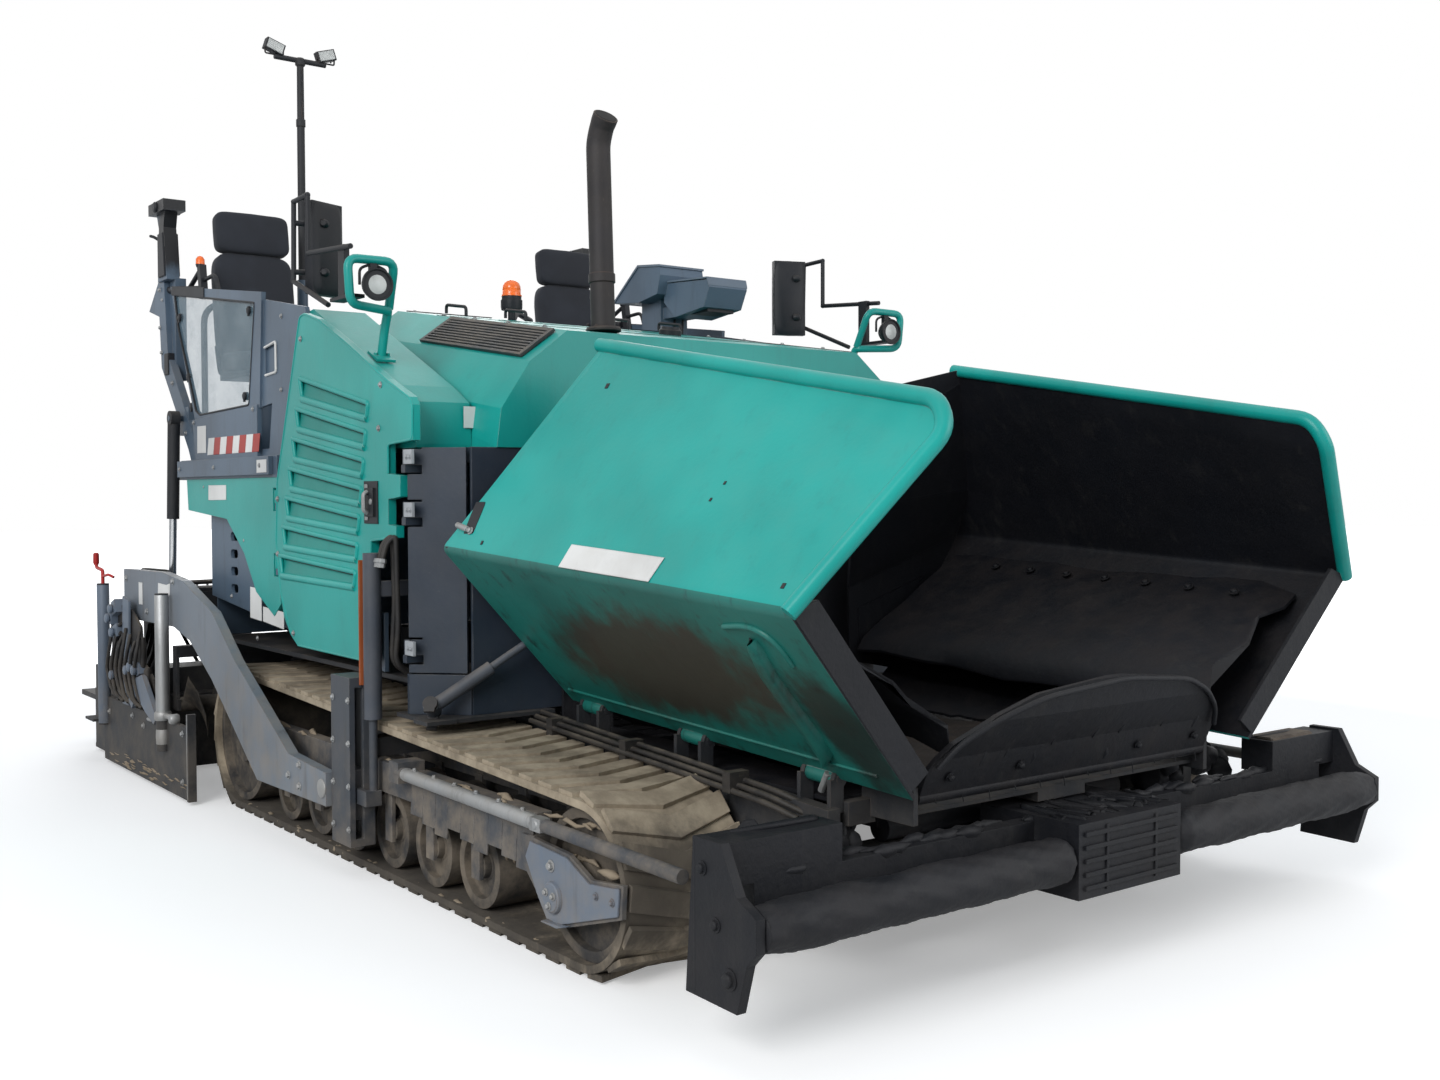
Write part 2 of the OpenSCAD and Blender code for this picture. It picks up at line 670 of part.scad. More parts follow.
module side_flap(side) color("#38b09a") on_side(side) {
    y0 = body_side_y - flap_thickness;
    for (z = flap_hinge_z) difference() {
        union() {
            translate([flap_hinge[0], flap_hinge[1], z]) cylinder(h = knuckle_h, d = 26);
            translate([flap_hinge[0], flap_hinge[1] - 5, z]) cube([90, 10, knuckle_h]);
        }
        translate([flap_hinge[0], flap_hinge[1], z - 5])
            cylinder(h = knuckle_h + 20, d = hinge_pin_d + 2 * pin_gap);
    }
    difference() {
        side_plate([[-110, 2300], [-340, 1740], [-405, 1580], [-428, 1300], [-375, 1070],
            [-335, 965], [-260, 892], [-170, 845], [610, 840], [620, 1340], [850, 1350], [850, 1396],
            [780, 1400], [780, 1500], [890, 1510], [890, 1592], [780, 1600], [780, 1716],
            [1000, 1724], [1000, 1860], [975, 1890], [770, 1970], [400, 2140], [90, 2270],
            [-60, 2310]], y0, flap_thickness);
        // louvres, taller at their rear ends
        for (i = [0 : louvre_count - 1]) {
            rear = [-120 - 45 * i + 4 * max(0, i - 3), 2030 - 131 * i];
            front = [600 - 23 * i, 1885 - 114 * i];
            side_plate([rear, front, front + [-14, -58], rear + [26, -88]], body_side_y - 20, 40);
        }
    }
}

module front_door(side) color("#3f4757") on_side(side) {
    translate([door_hinge[0], door_hinge[1], 0]) difference() {
        rotate([0, 0, -45]) {
            difference() {
                translate([4, -24, 832]) cube([232, 20, 866]);
                for (z = door_hinge_z) translate([0, -30, z - 36]) cube([62, 40, 104]);
            }
            for (z = door_hinge_z) {
                translate([0, 0, z]) cylinder(h = knuckle_h, d = 26);
                translate([0, -16, z]) cube([90, 12, knuckle_h]);
            }
        }
        for (z = door_hinge_z) translate([0, 0, z - 5])
            cylinder(h = knuckle_h + 20, d = hinge_pin_d + 2 * pin_gap);
    }
}

wing_rear = [hinge_rear, knuckle_rear, crease_rear, shoulder_rear, top_rear];
wing_front = [hinge_front, knuckle_front, crease_front, shoulder_front, top_front];
// inner edge of the wing's rear end plate, from low to high
wing_end_edge = [[1249, 600, 770], [1276, 570, 1100], [1314, 560, 1450], [1414, 580, 1750],
    [1494, 600, 1980]];

module hopper_wing(side) color("#38b09a") on_side(side) difference() {
    union() {
        folded_sheet(wing_rear, wing_front, [for (i = [0 : 4]) inward(wing_rear, i, wing_sheet)]);
        bent_tube([top_rear + [-20, 0, 3], [3290, 929, 1775], [3335, 950, 1690],
            knuckle_front + [-3, -2, -3]], wing_tube_d);
        // rear end plate
        folded_sheet(wing_end_edge, [for (p = wing_rear) p + [20, -5, 6]], [for (i = [0 : 4]) [14, 0, 0]]);
        // flange along the lower front edge
        plate4(hinge_front + [-12, -60, 75], knuckle_front + [-12, -105, 30],
            knuckle_front + [-12, -9, -1], hinge_front + [-12, 14, 20], wing_sheet);
        // hinge tubes
        for (x = wing_hinge_x) rod(on_hinge(x) - hinge_dir * wing_hinge_half,
            on_hinge(x) + hinge_dir * wing_hinge_half, 56);
        // eye of the cylinder
        translate(wing_cyl_eye) rotate([0, 90, 0]) cylinder(h = 50, d = 70, center = true);
        translate([wing_cyl_eye[0] + 15, 940, 960]) cube([50, 60, 30]);
    }
    translate(wing_cyl_eye) rotate([0, 90, 0]) cylinder(h = 60, d = 32, center = true);
    // bores of the hinge tubes and room for the lugs
    for (x = wing_hinge_x) {
        p = on_hinge(x);
        rod(p - hinge_dir * 100, p + hinge_dir * 100, wing_hinge_pin_d + 2 * pin_gap);
        for (e = [-1, 1])
            rod(p + hinge_dir * e * wing_hinge_half, p + hinge_dir * e * (wing_hinge_half + 28), 68);
    }
}

// point p turned about the left wing's hinge line by angle w
function about_hinge(p, w) =
    let (r = p - hinge_rear)
    hinge_rear + r * cos(w) + cross(hinge_dir, r) * sin(w) + hinge_dir * (hinge_dir * r) * (1 - cos(w));

wing_cyl_dir = unit(wing_cyl_eye - wing_cyl_base);
wing_cyl_len = norm(wing_cyl_eye - wing_cyl_base);
// the cylinder turns about the normal of the plane its eye sweeps past
wing_cyl_axis = unit(cross(about_hinge(wing_cyl_eye, -wing_open) - wing_cyl_base, wing_cyl_dir));
// length with the wing open, and how much of it the barrel may take
wing_cyl_short = norm(about_hinge(wing_cyl_eye, -wing_open) - wing_cyl_base);
wing_barrel = wing_cyl_short - 41;
wing_rod_start = wing_barrel - 10;
wing_rod_d = 30;

module wing_cylinder(side) color("#3c4148") on_side(side) difference() {
    union() {
        rod(wing_cyl_base + wing_cyl_dir * 20, wing_cyl_base + wing_cyl_dir * wing_barrel, 52);
        rod(wing_cyl_base - wing_cyl_axis * 25, wing_cyl_base + wing_cyl_axis * 25, 60);
    }
    rod(wing_cyl_base - wing_cyl_axis * 40, wing_cyl_base + wing_cyl_axis * 40,
        wing_cyl_pin_d + 2 * pin_gap);
    rod(wing_cyl_base + wing_cyl_dir * (wing_rod_start - wing_cyl_len + wing_cyl_short - 3),
        wing_cyl_base + wing_cyl_dir * (wing_barrel + 20), wing_rod_d + 2);
}

module wing_rod(side) color("#c9ced2") on_side(side) {
    rod(wing_cyl_base + wing_cyl_dir * wing_rod_start, wing_cyl_eye - wing_cyl_dir * 46, wing_rod_d);
}

module front_apron() color("#2a2624") {
    half = 720;
    difference() {
        union() {
            intersection() {
                translate([2985, half, 600]) rotate([90, 0, 0]) linear_extrude(2 * half) polygon([
                    [0, 0], [16, -6], [70, 120], [150, 230], [190, 330], [176, 336], [130, 240], [52, 126]
                ]);
                // arched outline seen from the front
                translate([2950, 0, 0]) rotate([90, 0, 90]) linear_extrude(300) polygon([
                    [-half, 560], [half, 560], [half, 690], [660, 770], [520, 850], [360, 905],
                    [0, 940], [-360, 905], [-520, 850], [-660, 770], [-half, 690]
                ]);
            }
            translate([2985, 0, 600]) rotate([90, 0, 0]) cylinder(h = 2 * half, d = 46, center = true);
        }
        translate([2985, 0, 600]) rotate([90, 0, 0])
            cylinder(h = 2 * half + 20, d = 25 + 2 * pin_gap, center = true);
    }
}

module push_beam() color("#2a2826") {
    rear = push_pin_x - 60;
    translate([push_roller_x - 185, -1400, 280]) cube([60, 2800, 200]);
    difference() {
        translate([rear, -260, 262]) cube([push_roller_x + 50 - rear, 520, 236]);
        translate([push_pin_x, 0, 200]) cylinder(h = 400, d = push_pin_d + 2 * pin_gap);
    }
    both_sides() translate([push_roller_x, 0, 0]) {
        side_plate([[-260, 170], [-35, 165], [5, 300], [45, 340], [45, 430], [-35, 470], [-105, 600],
            [-225, 600]], 1500, 30);
        translate([-255, 1080, 470]) cube([130, 430, 120]);
        // stub axles of the rollers
        for (y = [255, 1460]) translate([0, y, push_roller_z]) rotate([-90, 0, 0])
            cylinder(h = 45, d = 50);
    }
}

module push_roller(side) color("#242221") on_side(side) {
    difference() {
        translate([push_roller_x, 264, push_roller_z]) rotate([-90, 0, 0])
            cylinder(h = 1232, d = push_roller_d);
        for (y = [260, 1455]) translate([push_roller_x, y, push_roller_z]) rotate([-90, 0, 0])
            cylinder(h = 45, d = 50 + 2 * pin_gap);
    }
}

module auger(side) color("#5a5550") on_side(side) {
    translate([auger_at[0], 52, auger_at[2]]) rotate([-90, 0, 0]) {
        cylinder(h = 1387.7, d = 80);
        linear_extrude(height = 1370, twist = 360 * 1370 / auger_pitch, slices = 42)
            translate([34, -9]) square([auger_d / 2 - 34, 18]);
    }
}

module tow_slides() color("#737a84") both_sides() {
    translate([549, 1456, 230]) cube([122, 52, 200]);
    // lug and pin for the tow arm
    translate([420, 1482, 270]) cube([140, 22, 120]);
    translate([tow_pin[0], 1482, tow_pin[2]]) rotate([-90, 0, 0]) cylinder(h = 72, d = tow_pin_d);
    // bar to the rod of the tow cylinder
    translate([665, 1482, 300]) cube([110, 22, 60]);
    translate([740, 1438, 300]) cube([40, 66, 60]);
    rod([760, 1462, 320], [760, 1462, 900], 34);
}

module tow_arms() color("#56606f") both_sides() {
    difference() {
        side_plate([[500, 262], [500, 398], [100, 420], [-560, 760], [-860, 960],
            [-1300, 1090], [-1640, 1120], [-2330, 1110], [-2330, 840], [-1450, 850],
            [-1200, 800], [-880, 640], [-280, 250]], 1508, 44);
        translate([tow_pin[0], 1500, tow_pin[2]]) rotate([-90, 0, 0])
            cylinder(h = 60, d = tow_pin_d + 2 * pin_gap);
    }
    // lug of the lift cylinder's eye
    translate([-2000, 1440, 950]) cube([80, 70, 75]);
}

module screed_frame() color("#3c4046") {
    z0 = screed_lift;
    cross_bar(-2480, z0, 430, 24, screed_half);
    cross_bar(-2480, z0 + 24, 430, 380, screed_half - 10);
    difference() {
        cross_bar(-2400, z0 + 400, 240, 560, screed_half - 10);
        for (y = [-1250 : 500 : 1250]) translate([-2410, y - 150, 560]) cube([260, 300, 300]);
    }
    both_sides() {
        // arm that joins the tow arm
        translate([-2300, screed_half - 60, 860]) cube([180, 1568 - screed_half, 200]);
        // guide tubes with their end brackets
        difference() {
            union() {
                for (z = guide_z) translate([guide_x, 30, z]) rotate([-90, 0, 0])
                    cylinder(h = screed_half - 60, d = guide_tube_d);
                for (y = [20, screed_half - 100]) translate([guide_x, y, 120]) cube([140, 60, 380]);
            }
            for (z = guide_z) translate([guide_x, 29, z]) rotate([-90, 0, 0])
                cylinder(h = screed_half, d = guide_tube_d - 16);
        }
    }
}

module screed_extension(side) color("#464b52") on_side(side) {
    z0 = screed_lift;
    inner = 40;
    width = screed_half + 90 - inner;
    translate([-3060, inner, z0]) cube([430, width, 24]);
    translate([-3050, inner, z0 + 24]) cube([410, width, 330]);
    translate([rear_x, inner + 20, 300]) cube([-3040 - rear_x, width - 20, 30]);
    // end plate that the inner tubes are fixed to
    translate([-3050, screed_half + 50, z0 + 24]) cube([520, 36, 470]);
    for (z = guide_z) translate([guide_x, 90, z]) rotate([-90, 0, 0])
        cylinder(h = screed_half - 20, d = guide_tube_d - 18);
}

module end_gate(side) color("#3f444b") on_side(side) {
    z0 = screed_lift;
    y = screed_half + 130;
    translate([-2620, y, z0]) cube([1530, 22, 360]);
    translate([-1110, y - 8, z0]) cube([24, 40, 430]);
    translate([-2620, screed_half + 86.3, z0 + 30]) cube([110, y - screed_half - 70, 330]);
    // spindle housings with their clamps
    for (x = [-2570, -1480]) {
        translate([x, y + 32, 220]) cylinder(h = 800, d = 66);
        translate([x - 28, y + 18, 230]) cube([56, 20, 60]);
    }
    // step plate
    translate([-2760, y + 10, 235]) cube([170, 80, 14]);
}

lift_dir = unit(lift_pin_low - lift_pin_top);

module lift_cylinders() color("#34383d") both_sides() {
    difference() {
        rod(lift_pin_top + lift_dir * 30, lift_pin_top + lift_dir * 540, 64);
        rod(lift_pin_top + lift_dir * 60, lift_pin_top + lift_dir * 560, 42);
    }
    translate(lift_pin_top) rotate([90, 0, 0]) difference() {
        cylinder(h = 50, d = 80, center = true);
        cylinder(h = 60, d = 30 + 2 * pin_gap, center = true);
    }
}

module lift_rods() color("#c9ced2") both_sides() {
    rod(lift_pin_top + lift_dir * 520, lift_pin_low - lift_dir * 36, 40);
}

module seat(side) color("#1f2023") on_side(side) {
    translate([seat_at[0], seat_at[1], deck_z + seat_pedestal + fit_gap]) {
        cylinder(h = 40, d = 200);
        translate([-220, -seat_width / 2, 35]) cube([460, seat_width, 130]);
        translate([-260, -seat_width / 2 + 12, 125]) rotate([0, -8, 0]) {
            cube([110, seat_width - 24, 600]);
            // headrest on the backrest's top
            translate([5, 40, 590]) cube([90, seat_width - 104, 40]);
            translate([0, 16, 625]) cube([100, seat_width - 56, 225]);
        }
    }
}

module lamp_mast() color("#3a3f47") {
    head = mast_z + mast_height;
    translate([mast_at[0], mast_at[1], mast_z]) cylinder(h = mast_height + 120, d = mast_d);
    rod([mast_at[0], mast_at[1] - 150, head + 140], [mast_at[0], mast_at[1] + 150, head + 140], 30);
    for (y = [-150, 150]) translate([mast_at[0] - 30, mast_at[1] + y - 55, head + 145])
        cube([60, 110, 80]);
    translate([mast_at[0], mast_at[1], head + 110]) cylinder(h = 40, d = 36);
}

chassis();
engine_mounts();
apron_bearings();
wing_clevises();
engine_block();
hood();
hood_grille();
body_sides();
side_skirts();
front_wall();
operator_deck();
side_panels();
side_windows();
rear_posts();
control_console();
exhaust_pipe();
lamp_guards();
work_lamps();
wing_mirror();
beacons();
track(-1);  // track_right
track(1);  // track_left
track_wheels();
track_frames();
conveyor();
hopper_rear_wall();
tow_guides();
tow_cylinders();
auger_gearcase();
side_flap(-1);  // side_flap_right
side_flap(1);  // side_flap_left
front_door(-1);  // front_door_right
front_door(1);  // front_door_left
hopper_wing(-1);  // hopper_wing_right
hopper_wing(1);  // hopper_wing_left
wing_cylinder(-1);  // wing_cylinder_right
wing_cylinder(1);  // wing_cylinder_left
wing_rod(-1);  // wing_rod_right
wing_rod(1);  // wing_rod_left
front_apron();
push_beam();
push_roller(-1);  // push_roller_right
push_roller(1);  // push_roller_left
auger(-1);  // auger_right
auger(1);  // auger_left
tow_slides();
tow_arms();
screed_frame();
screed_extension(-1);  // screed_extension_right
screed_extension(1);  // screed_extension_left
end_gate(-1);  // end_gate_right
end_gate(1);  // end_gate_left
lift_cylinders();
lift_rods();
seat(-1);  // seat_right
seat(1);  // seat_left
lamp_mast();
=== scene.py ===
import math
import random

import bmesh
import bpy
from mathutils import Matrix, Vector


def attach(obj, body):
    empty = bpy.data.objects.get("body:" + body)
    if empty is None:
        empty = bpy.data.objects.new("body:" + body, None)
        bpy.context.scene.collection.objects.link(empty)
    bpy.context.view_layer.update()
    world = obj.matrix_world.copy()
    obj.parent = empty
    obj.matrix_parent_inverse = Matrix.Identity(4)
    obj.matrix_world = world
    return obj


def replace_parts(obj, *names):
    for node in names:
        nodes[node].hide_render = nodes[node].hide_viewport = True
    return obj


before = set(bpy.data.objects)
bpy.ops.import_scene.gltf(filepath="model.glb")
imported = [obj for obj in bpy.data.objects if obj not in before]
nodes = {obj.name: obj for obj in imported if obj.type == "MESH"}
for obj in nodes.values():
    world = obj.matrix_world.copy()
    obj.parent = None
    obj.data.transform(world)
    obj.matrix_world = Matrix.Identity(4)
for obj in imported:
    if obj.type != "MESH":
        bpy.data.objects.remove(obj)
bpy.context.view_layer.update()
rng = random.Random(7)
V = Vector
WASHER = 0.003  # thickness of the washer under a bolt head
FLAP_Y = 1.398  # outer face of the side flaps
PLATE = 0.0018  # thickness of a blank plate


# ---------------------------------------------------------------- camera, light and stage

def camera():
    """The photo's camera, solved from paired points; angles in degrees, focal length from 1440 pixels of width."""
    az, el, roll = math.radians(52.5066), math.radians(1.7868), math.radians(-0.1195)
    back = V((math.sin(az) * math.cos(el), -math.cos(az) * math.cos(el), math.sin(el)))
    right = (-back).cross(V((0, 0, 1))).normalized()
    up = right.cross(-back)
    x = right * math.cos(roll) + up * math.sin(roll)
    y = up * math.cos(roll) - right * math.sin(roll)
    data = bpy.data.cameras.new("camera")
    data.sensor_width = 36
    data.lens = 36 * 1452.887 / 1440
    data.sensor_fit = "HORIZONTAL"
    data.clip_end = 200
    cam = bpy.data.objects.new("camera", data)
    turn = Matrix((x, y, back)).transposed().to_4x4()
    cam.matrix_world = Matrix.Translation((6.0815, -3.8312, 1.515)) @ turn
    bpy.context.scene.collection.objects.link(cam)
    bpy.context.scene.camera = cam


def area_light(name, place, target, size, power):
    """A rectangular light at place that looks at target."""
    data = bpy.data.lights.new(name, "AREA")
    data.shape = "RECTANGLE"
    data.size, data.size_y = size
    data.energy = power
    ob = bpy.data.objects.new(name, data)
    ob.location = place
    ob.rotation_euler = (V(target) - V(place)).to_track_quat("-Z", "Y").to_euler()
    bpy.context.scene.collection.objects.link(ob)


# ---------------------------------------------------------------- node helpers

def new_material(name):
    m = bpy.data.materials.new(name)
    m.use_nodes = True
    t = m.node_tree
    return m, t, t.nodes["Principled BSDF"]


def put(t, kind, out=0, props=None, **inputs):
    """Adds a shader node; inputs are values or sockets, by name or as i0, i1 by place."""
    n = t.nodes.new("ShaderNode" + kind)
    for k, v in (props or {}).items():
        setattr(n, k, v)
    for k, v in inputs.items():
        s = n.inputs[int(k[1:])] if k[0] == "i" and k[1:].isdigit() else n.inputs[k.replace("_", " ")]
        if isinstance(v, bpy.types.NodeSocket):
            t.links.new(v, s)
        else:
            s.default_value = v
    return n.outputs[out]


def mix(t, f, a, b):
    """Mixes two colours, given as values or sockets."""
    a, b = ((*c, 1) if isinstance(c, tuple) else c for c in (a, b))
    return put(t, "Mix", 2, {"data_type": "RGBA"}, i0=f, i6=a, i7=b)


def calc(t, op, a, b):
    return put(t, "Math", 0, {"operation": op}, i0=a, i1=b)


def times(t, a, b):
    return calc(t, "MULTIPLY", a, b)


def plus(t, a, b):
    return calc(t, "ADD", a, b)


def ramp(t, f, lo, hi, out_lo=0.0, out_hi=1.0):
    """A smooth step of f from lo to hi."""
    return put(t, "MapRange", 0, {"interpolation_type": "SMOOTHSTEP"}, i0=f, i1=lo, i2=hi, i3=out_lo, i4=out_hi)


def noise(t, at, scale, detail, rough=0.55):
    return put(t, "TexNoise", 0, None, Vector=at, Scale=scale, Detail=detail, Roughness=rough)


def mid_noise(t, co):
    """Patchy noise with streaks that run down."""
    return noise(t, put(t, "Mapping", 0, None, Vector=co, Scale=(1.4, 1.4, 0.7)), 4.5, 6.0, 0.7)


def surface(name, base, rough=0.45, metal=0.0, coat=0.0, vary=0.12, dust=0.5, dust_rgb=(0.33, 0.27, 0.2), low=0.9,
            grime=0.35, grime_rgb=(0.02, 0.02, 0.02), wear=0.0, wear_rgb=(0.32, 0.31, 0.3), bump=0.02, bump_scale=60.0,
            spots=()):
    """A weathered finish: colour variation, streaks of grime, dust from above and up to the height low, worn edges.

    spots are (middle, half sizes, colour, amount): uneven patches of that colour round a place."""
    m, t, b = new_material(name)
    co = put(t, "TexCoord", 3)
    normal = put(t, "TexCoord", 1)
    sep = put(t, "SeparateXYZ", 2, None, Vector=co)
    up = put(t, "SeparateXYZ", 2, None, Vector=normal)
    big = noise(t, co, 1.3, 3.0)
    mid = noise(t, co, 7.0, 6.0, 0.65)
    fine = noise(t, co, 42.0, 5.0, 0.7)
    dark = tuple(c * (1 - vary * 1.6) for c in base)
    light = tuple(min(1, c * (1 + vary) + 0.01 * vary) for c in base)
    col = mix(t, ramp(t, big, 0.35, 0.65), dark, light)
    # stains run down in streaks
    stretched = put(t, "Mapping", 0, None, Vector=co, Scale=(9.0, 9.0, 1.1))
    streak = times(t, ramp(t, noise(t, stretched, 1.6, 5.0, 0.7), 0.52, 0.78), grime)
    col = mix(t, streak, col, grime_rgb)
    # dust lies on upward faces and low down
    upward = ramp(t, up, 0.2, 1.0, 0.12, 0.75)
    near_ground = ramp(t, sep, 0.0, low, 0.9, 0.0)
    lying = calc(t, "MAXIMUM", upward, near_ground)
    patch = times(t, ramp(t, mid, 0.3, 0.72), lying)
    dusty = times(t, patch, dust)
    col = mix(t, dusty, col, dust_rgb)
    speck = times(t, ramp(t, fine, 0.62, 0.75), 0.25 * dust)
    col = mix(t, speck, col, dust_rgb)
    for at, size, rgb, amount in spots:
        off = put(t, "VectorMath", 0, {"operation": "SUBTRACT"}, i0=co, i1=at)
        off = put(t, "VectorMath", 0, {"operation": "MULTIPLY"}, i0=off, i1=tuple(1 / q for q in size))
        far = put(t, "VectorMath", 1, {"operation": "LENGTH"}, i0=off)
        uneven = calc(t, "SUBTRACT", mid_noise(t, co), 0.5)
        far = plus(t, far, times(t, uneven, 1.1))
        col = mix(t, ramp(t, far, 0.55, 1.05, amount, 0.0), col, rgb)
    bevel = put(t, "Bevel", 0, {"samples": 3}, Radius=0.004)
    if wear:
        true_normal = put(t, "NewGeometry", 1)
        edge = put(t, "VectorMath", 1, {"operation": "DOT_PRODUCT"}, i0=bevel, i1=true_normal)
        edge = ramp(t, edge, 0.985, 0.9)
        edge = times(t, edge, ramp(t, mid, 0.42, 0.6))
        edge = times(t, edge, wear)
        col = mix(t, edge, col, wear_rgb)
    t.links.new(col, b.inputs["Base Color"])
    rough_now = plus(t, times(t, dusty, 0.35), rough - 0.06)
    rough_now = plus(t, rough_now, times(t, mid, 0.12))
    t.links.new(rough_now, b.inputs["Roughness"])
    height = times(t, noise(t, co, bump_scale, 5.0, 0.6), 0.6)
    height = plus(t, height, times(t, mid, 0.8))
    shaped = put(t, "Bump", 0, None, Strength=min(1.0, bump * 10), Distance=0.004, Height=height, Normal=bevel)
    t.links.new(shaped, b.inputs["Normal"])
    b.inputs["Metallic"].default_value = metal
    b.inputs["Coat Weight"].default_value = coat
    b.inputs["Specular IOR Level"].default_value = 0.3
    b.inputs["Coat Roughness"].default_value = 0.25
    return m


TEAL = (0.004, 0.315, 0.278)
GREY = (0.074, 0.112, 0.158)
SIDES = (("right", -1), ("left", 1))


def on_both(*spots):
    """Spots given for the left side, put on both sides."""
    return [((x, side * y, z), *rest) for (x, y, z), *rest in spots for _, side in SIDES]


def glass():
    m, t, b = new_material("cab_glass")
    co = put(t, "TexCoord", 3)
    dirt = ramp(t, noise(t, co, 5.0, 6.0, 0.7), 0.35, 0.8, 0.03, 0.22)
    t.links.new(mix(t, dirt, (0.16, 0.27, 0.34), (0.36, 0.36, 0.32)), b.inputs["Base Color"])
    t.links.new(dirt, b.inputs["Roughness"])
    t.links.new(plus(t, dirt, 0.3), b.inputs["Alpha"])
    b.inputs["IOR"].default_value = 1.45
    return m


def plain(name, rgb, rough, metal=0.0, glow=None, clear=0.0):
    """A clean finish with slight unevenness, for lenses, mirrors and the exhaust mouth's black, which is soot and
    painted shade.
    """
    m, t, b = new_material(name)
    co = put(t, "TexCoord", 3)
    n = noise(t, co, 18.0, 5.0, 0.6)
    dark, light = tuple(c * 0.85 for c in rgb), tuple(min(1, c * 1.12) for c in rgb)
    t.links.new(mix(t, ramp(t, n, 0.3, 0.7), dark, light), b.inputs["Base Color"])
    t.links.new(ramp(t, n, 0.2, 0.8, rough * 0.85, min(1, rough * 1.2)), b.inputs["Roughness"])
    b.inputs["Metallic"].default_value = metal
    b.inputs["Transmission Weight"].default_value = clear
    if glow:
        b.inputs["Emission Color"].default_value = (*rgb, 1)
        b.inputs["Emission Strength"].default_value = glow
    return m


def seat_cloth():
    """Dark woven seat cover with faded patches."""
    m, t, b = new_material("seat_cloth")
    co = put(t, "TexCoord", 3)
    threads = [put(t, "TexWave", 1, {"bands_direction": axis}, Vector=co, Scale=90.0) for axis in "YZ"]
    weave = times(t, *threads)
    worn = ramp(t, noise(t, co, 3.5, 5.0), 0.4, 0.75)
    col = mix(t, worn, (0.005, 0.007, 0.012), (0.014, 0.018, 0.027))
    col = mix(t, times(t, weave, 0.35), col, (0.026, 0.031, 0.043))
    t.links.new(col, b.inputs["Base Color"])
    b.inputs["Roughness"].default_value = 0.85
    b.inputs["Sheen Weight"].default_value = 0.08
    t.links.new(put(t, "Bump", 0, None, Strength=0.25, Distance=0.002, Height=weave), b.inputs["Normal"])
    return m


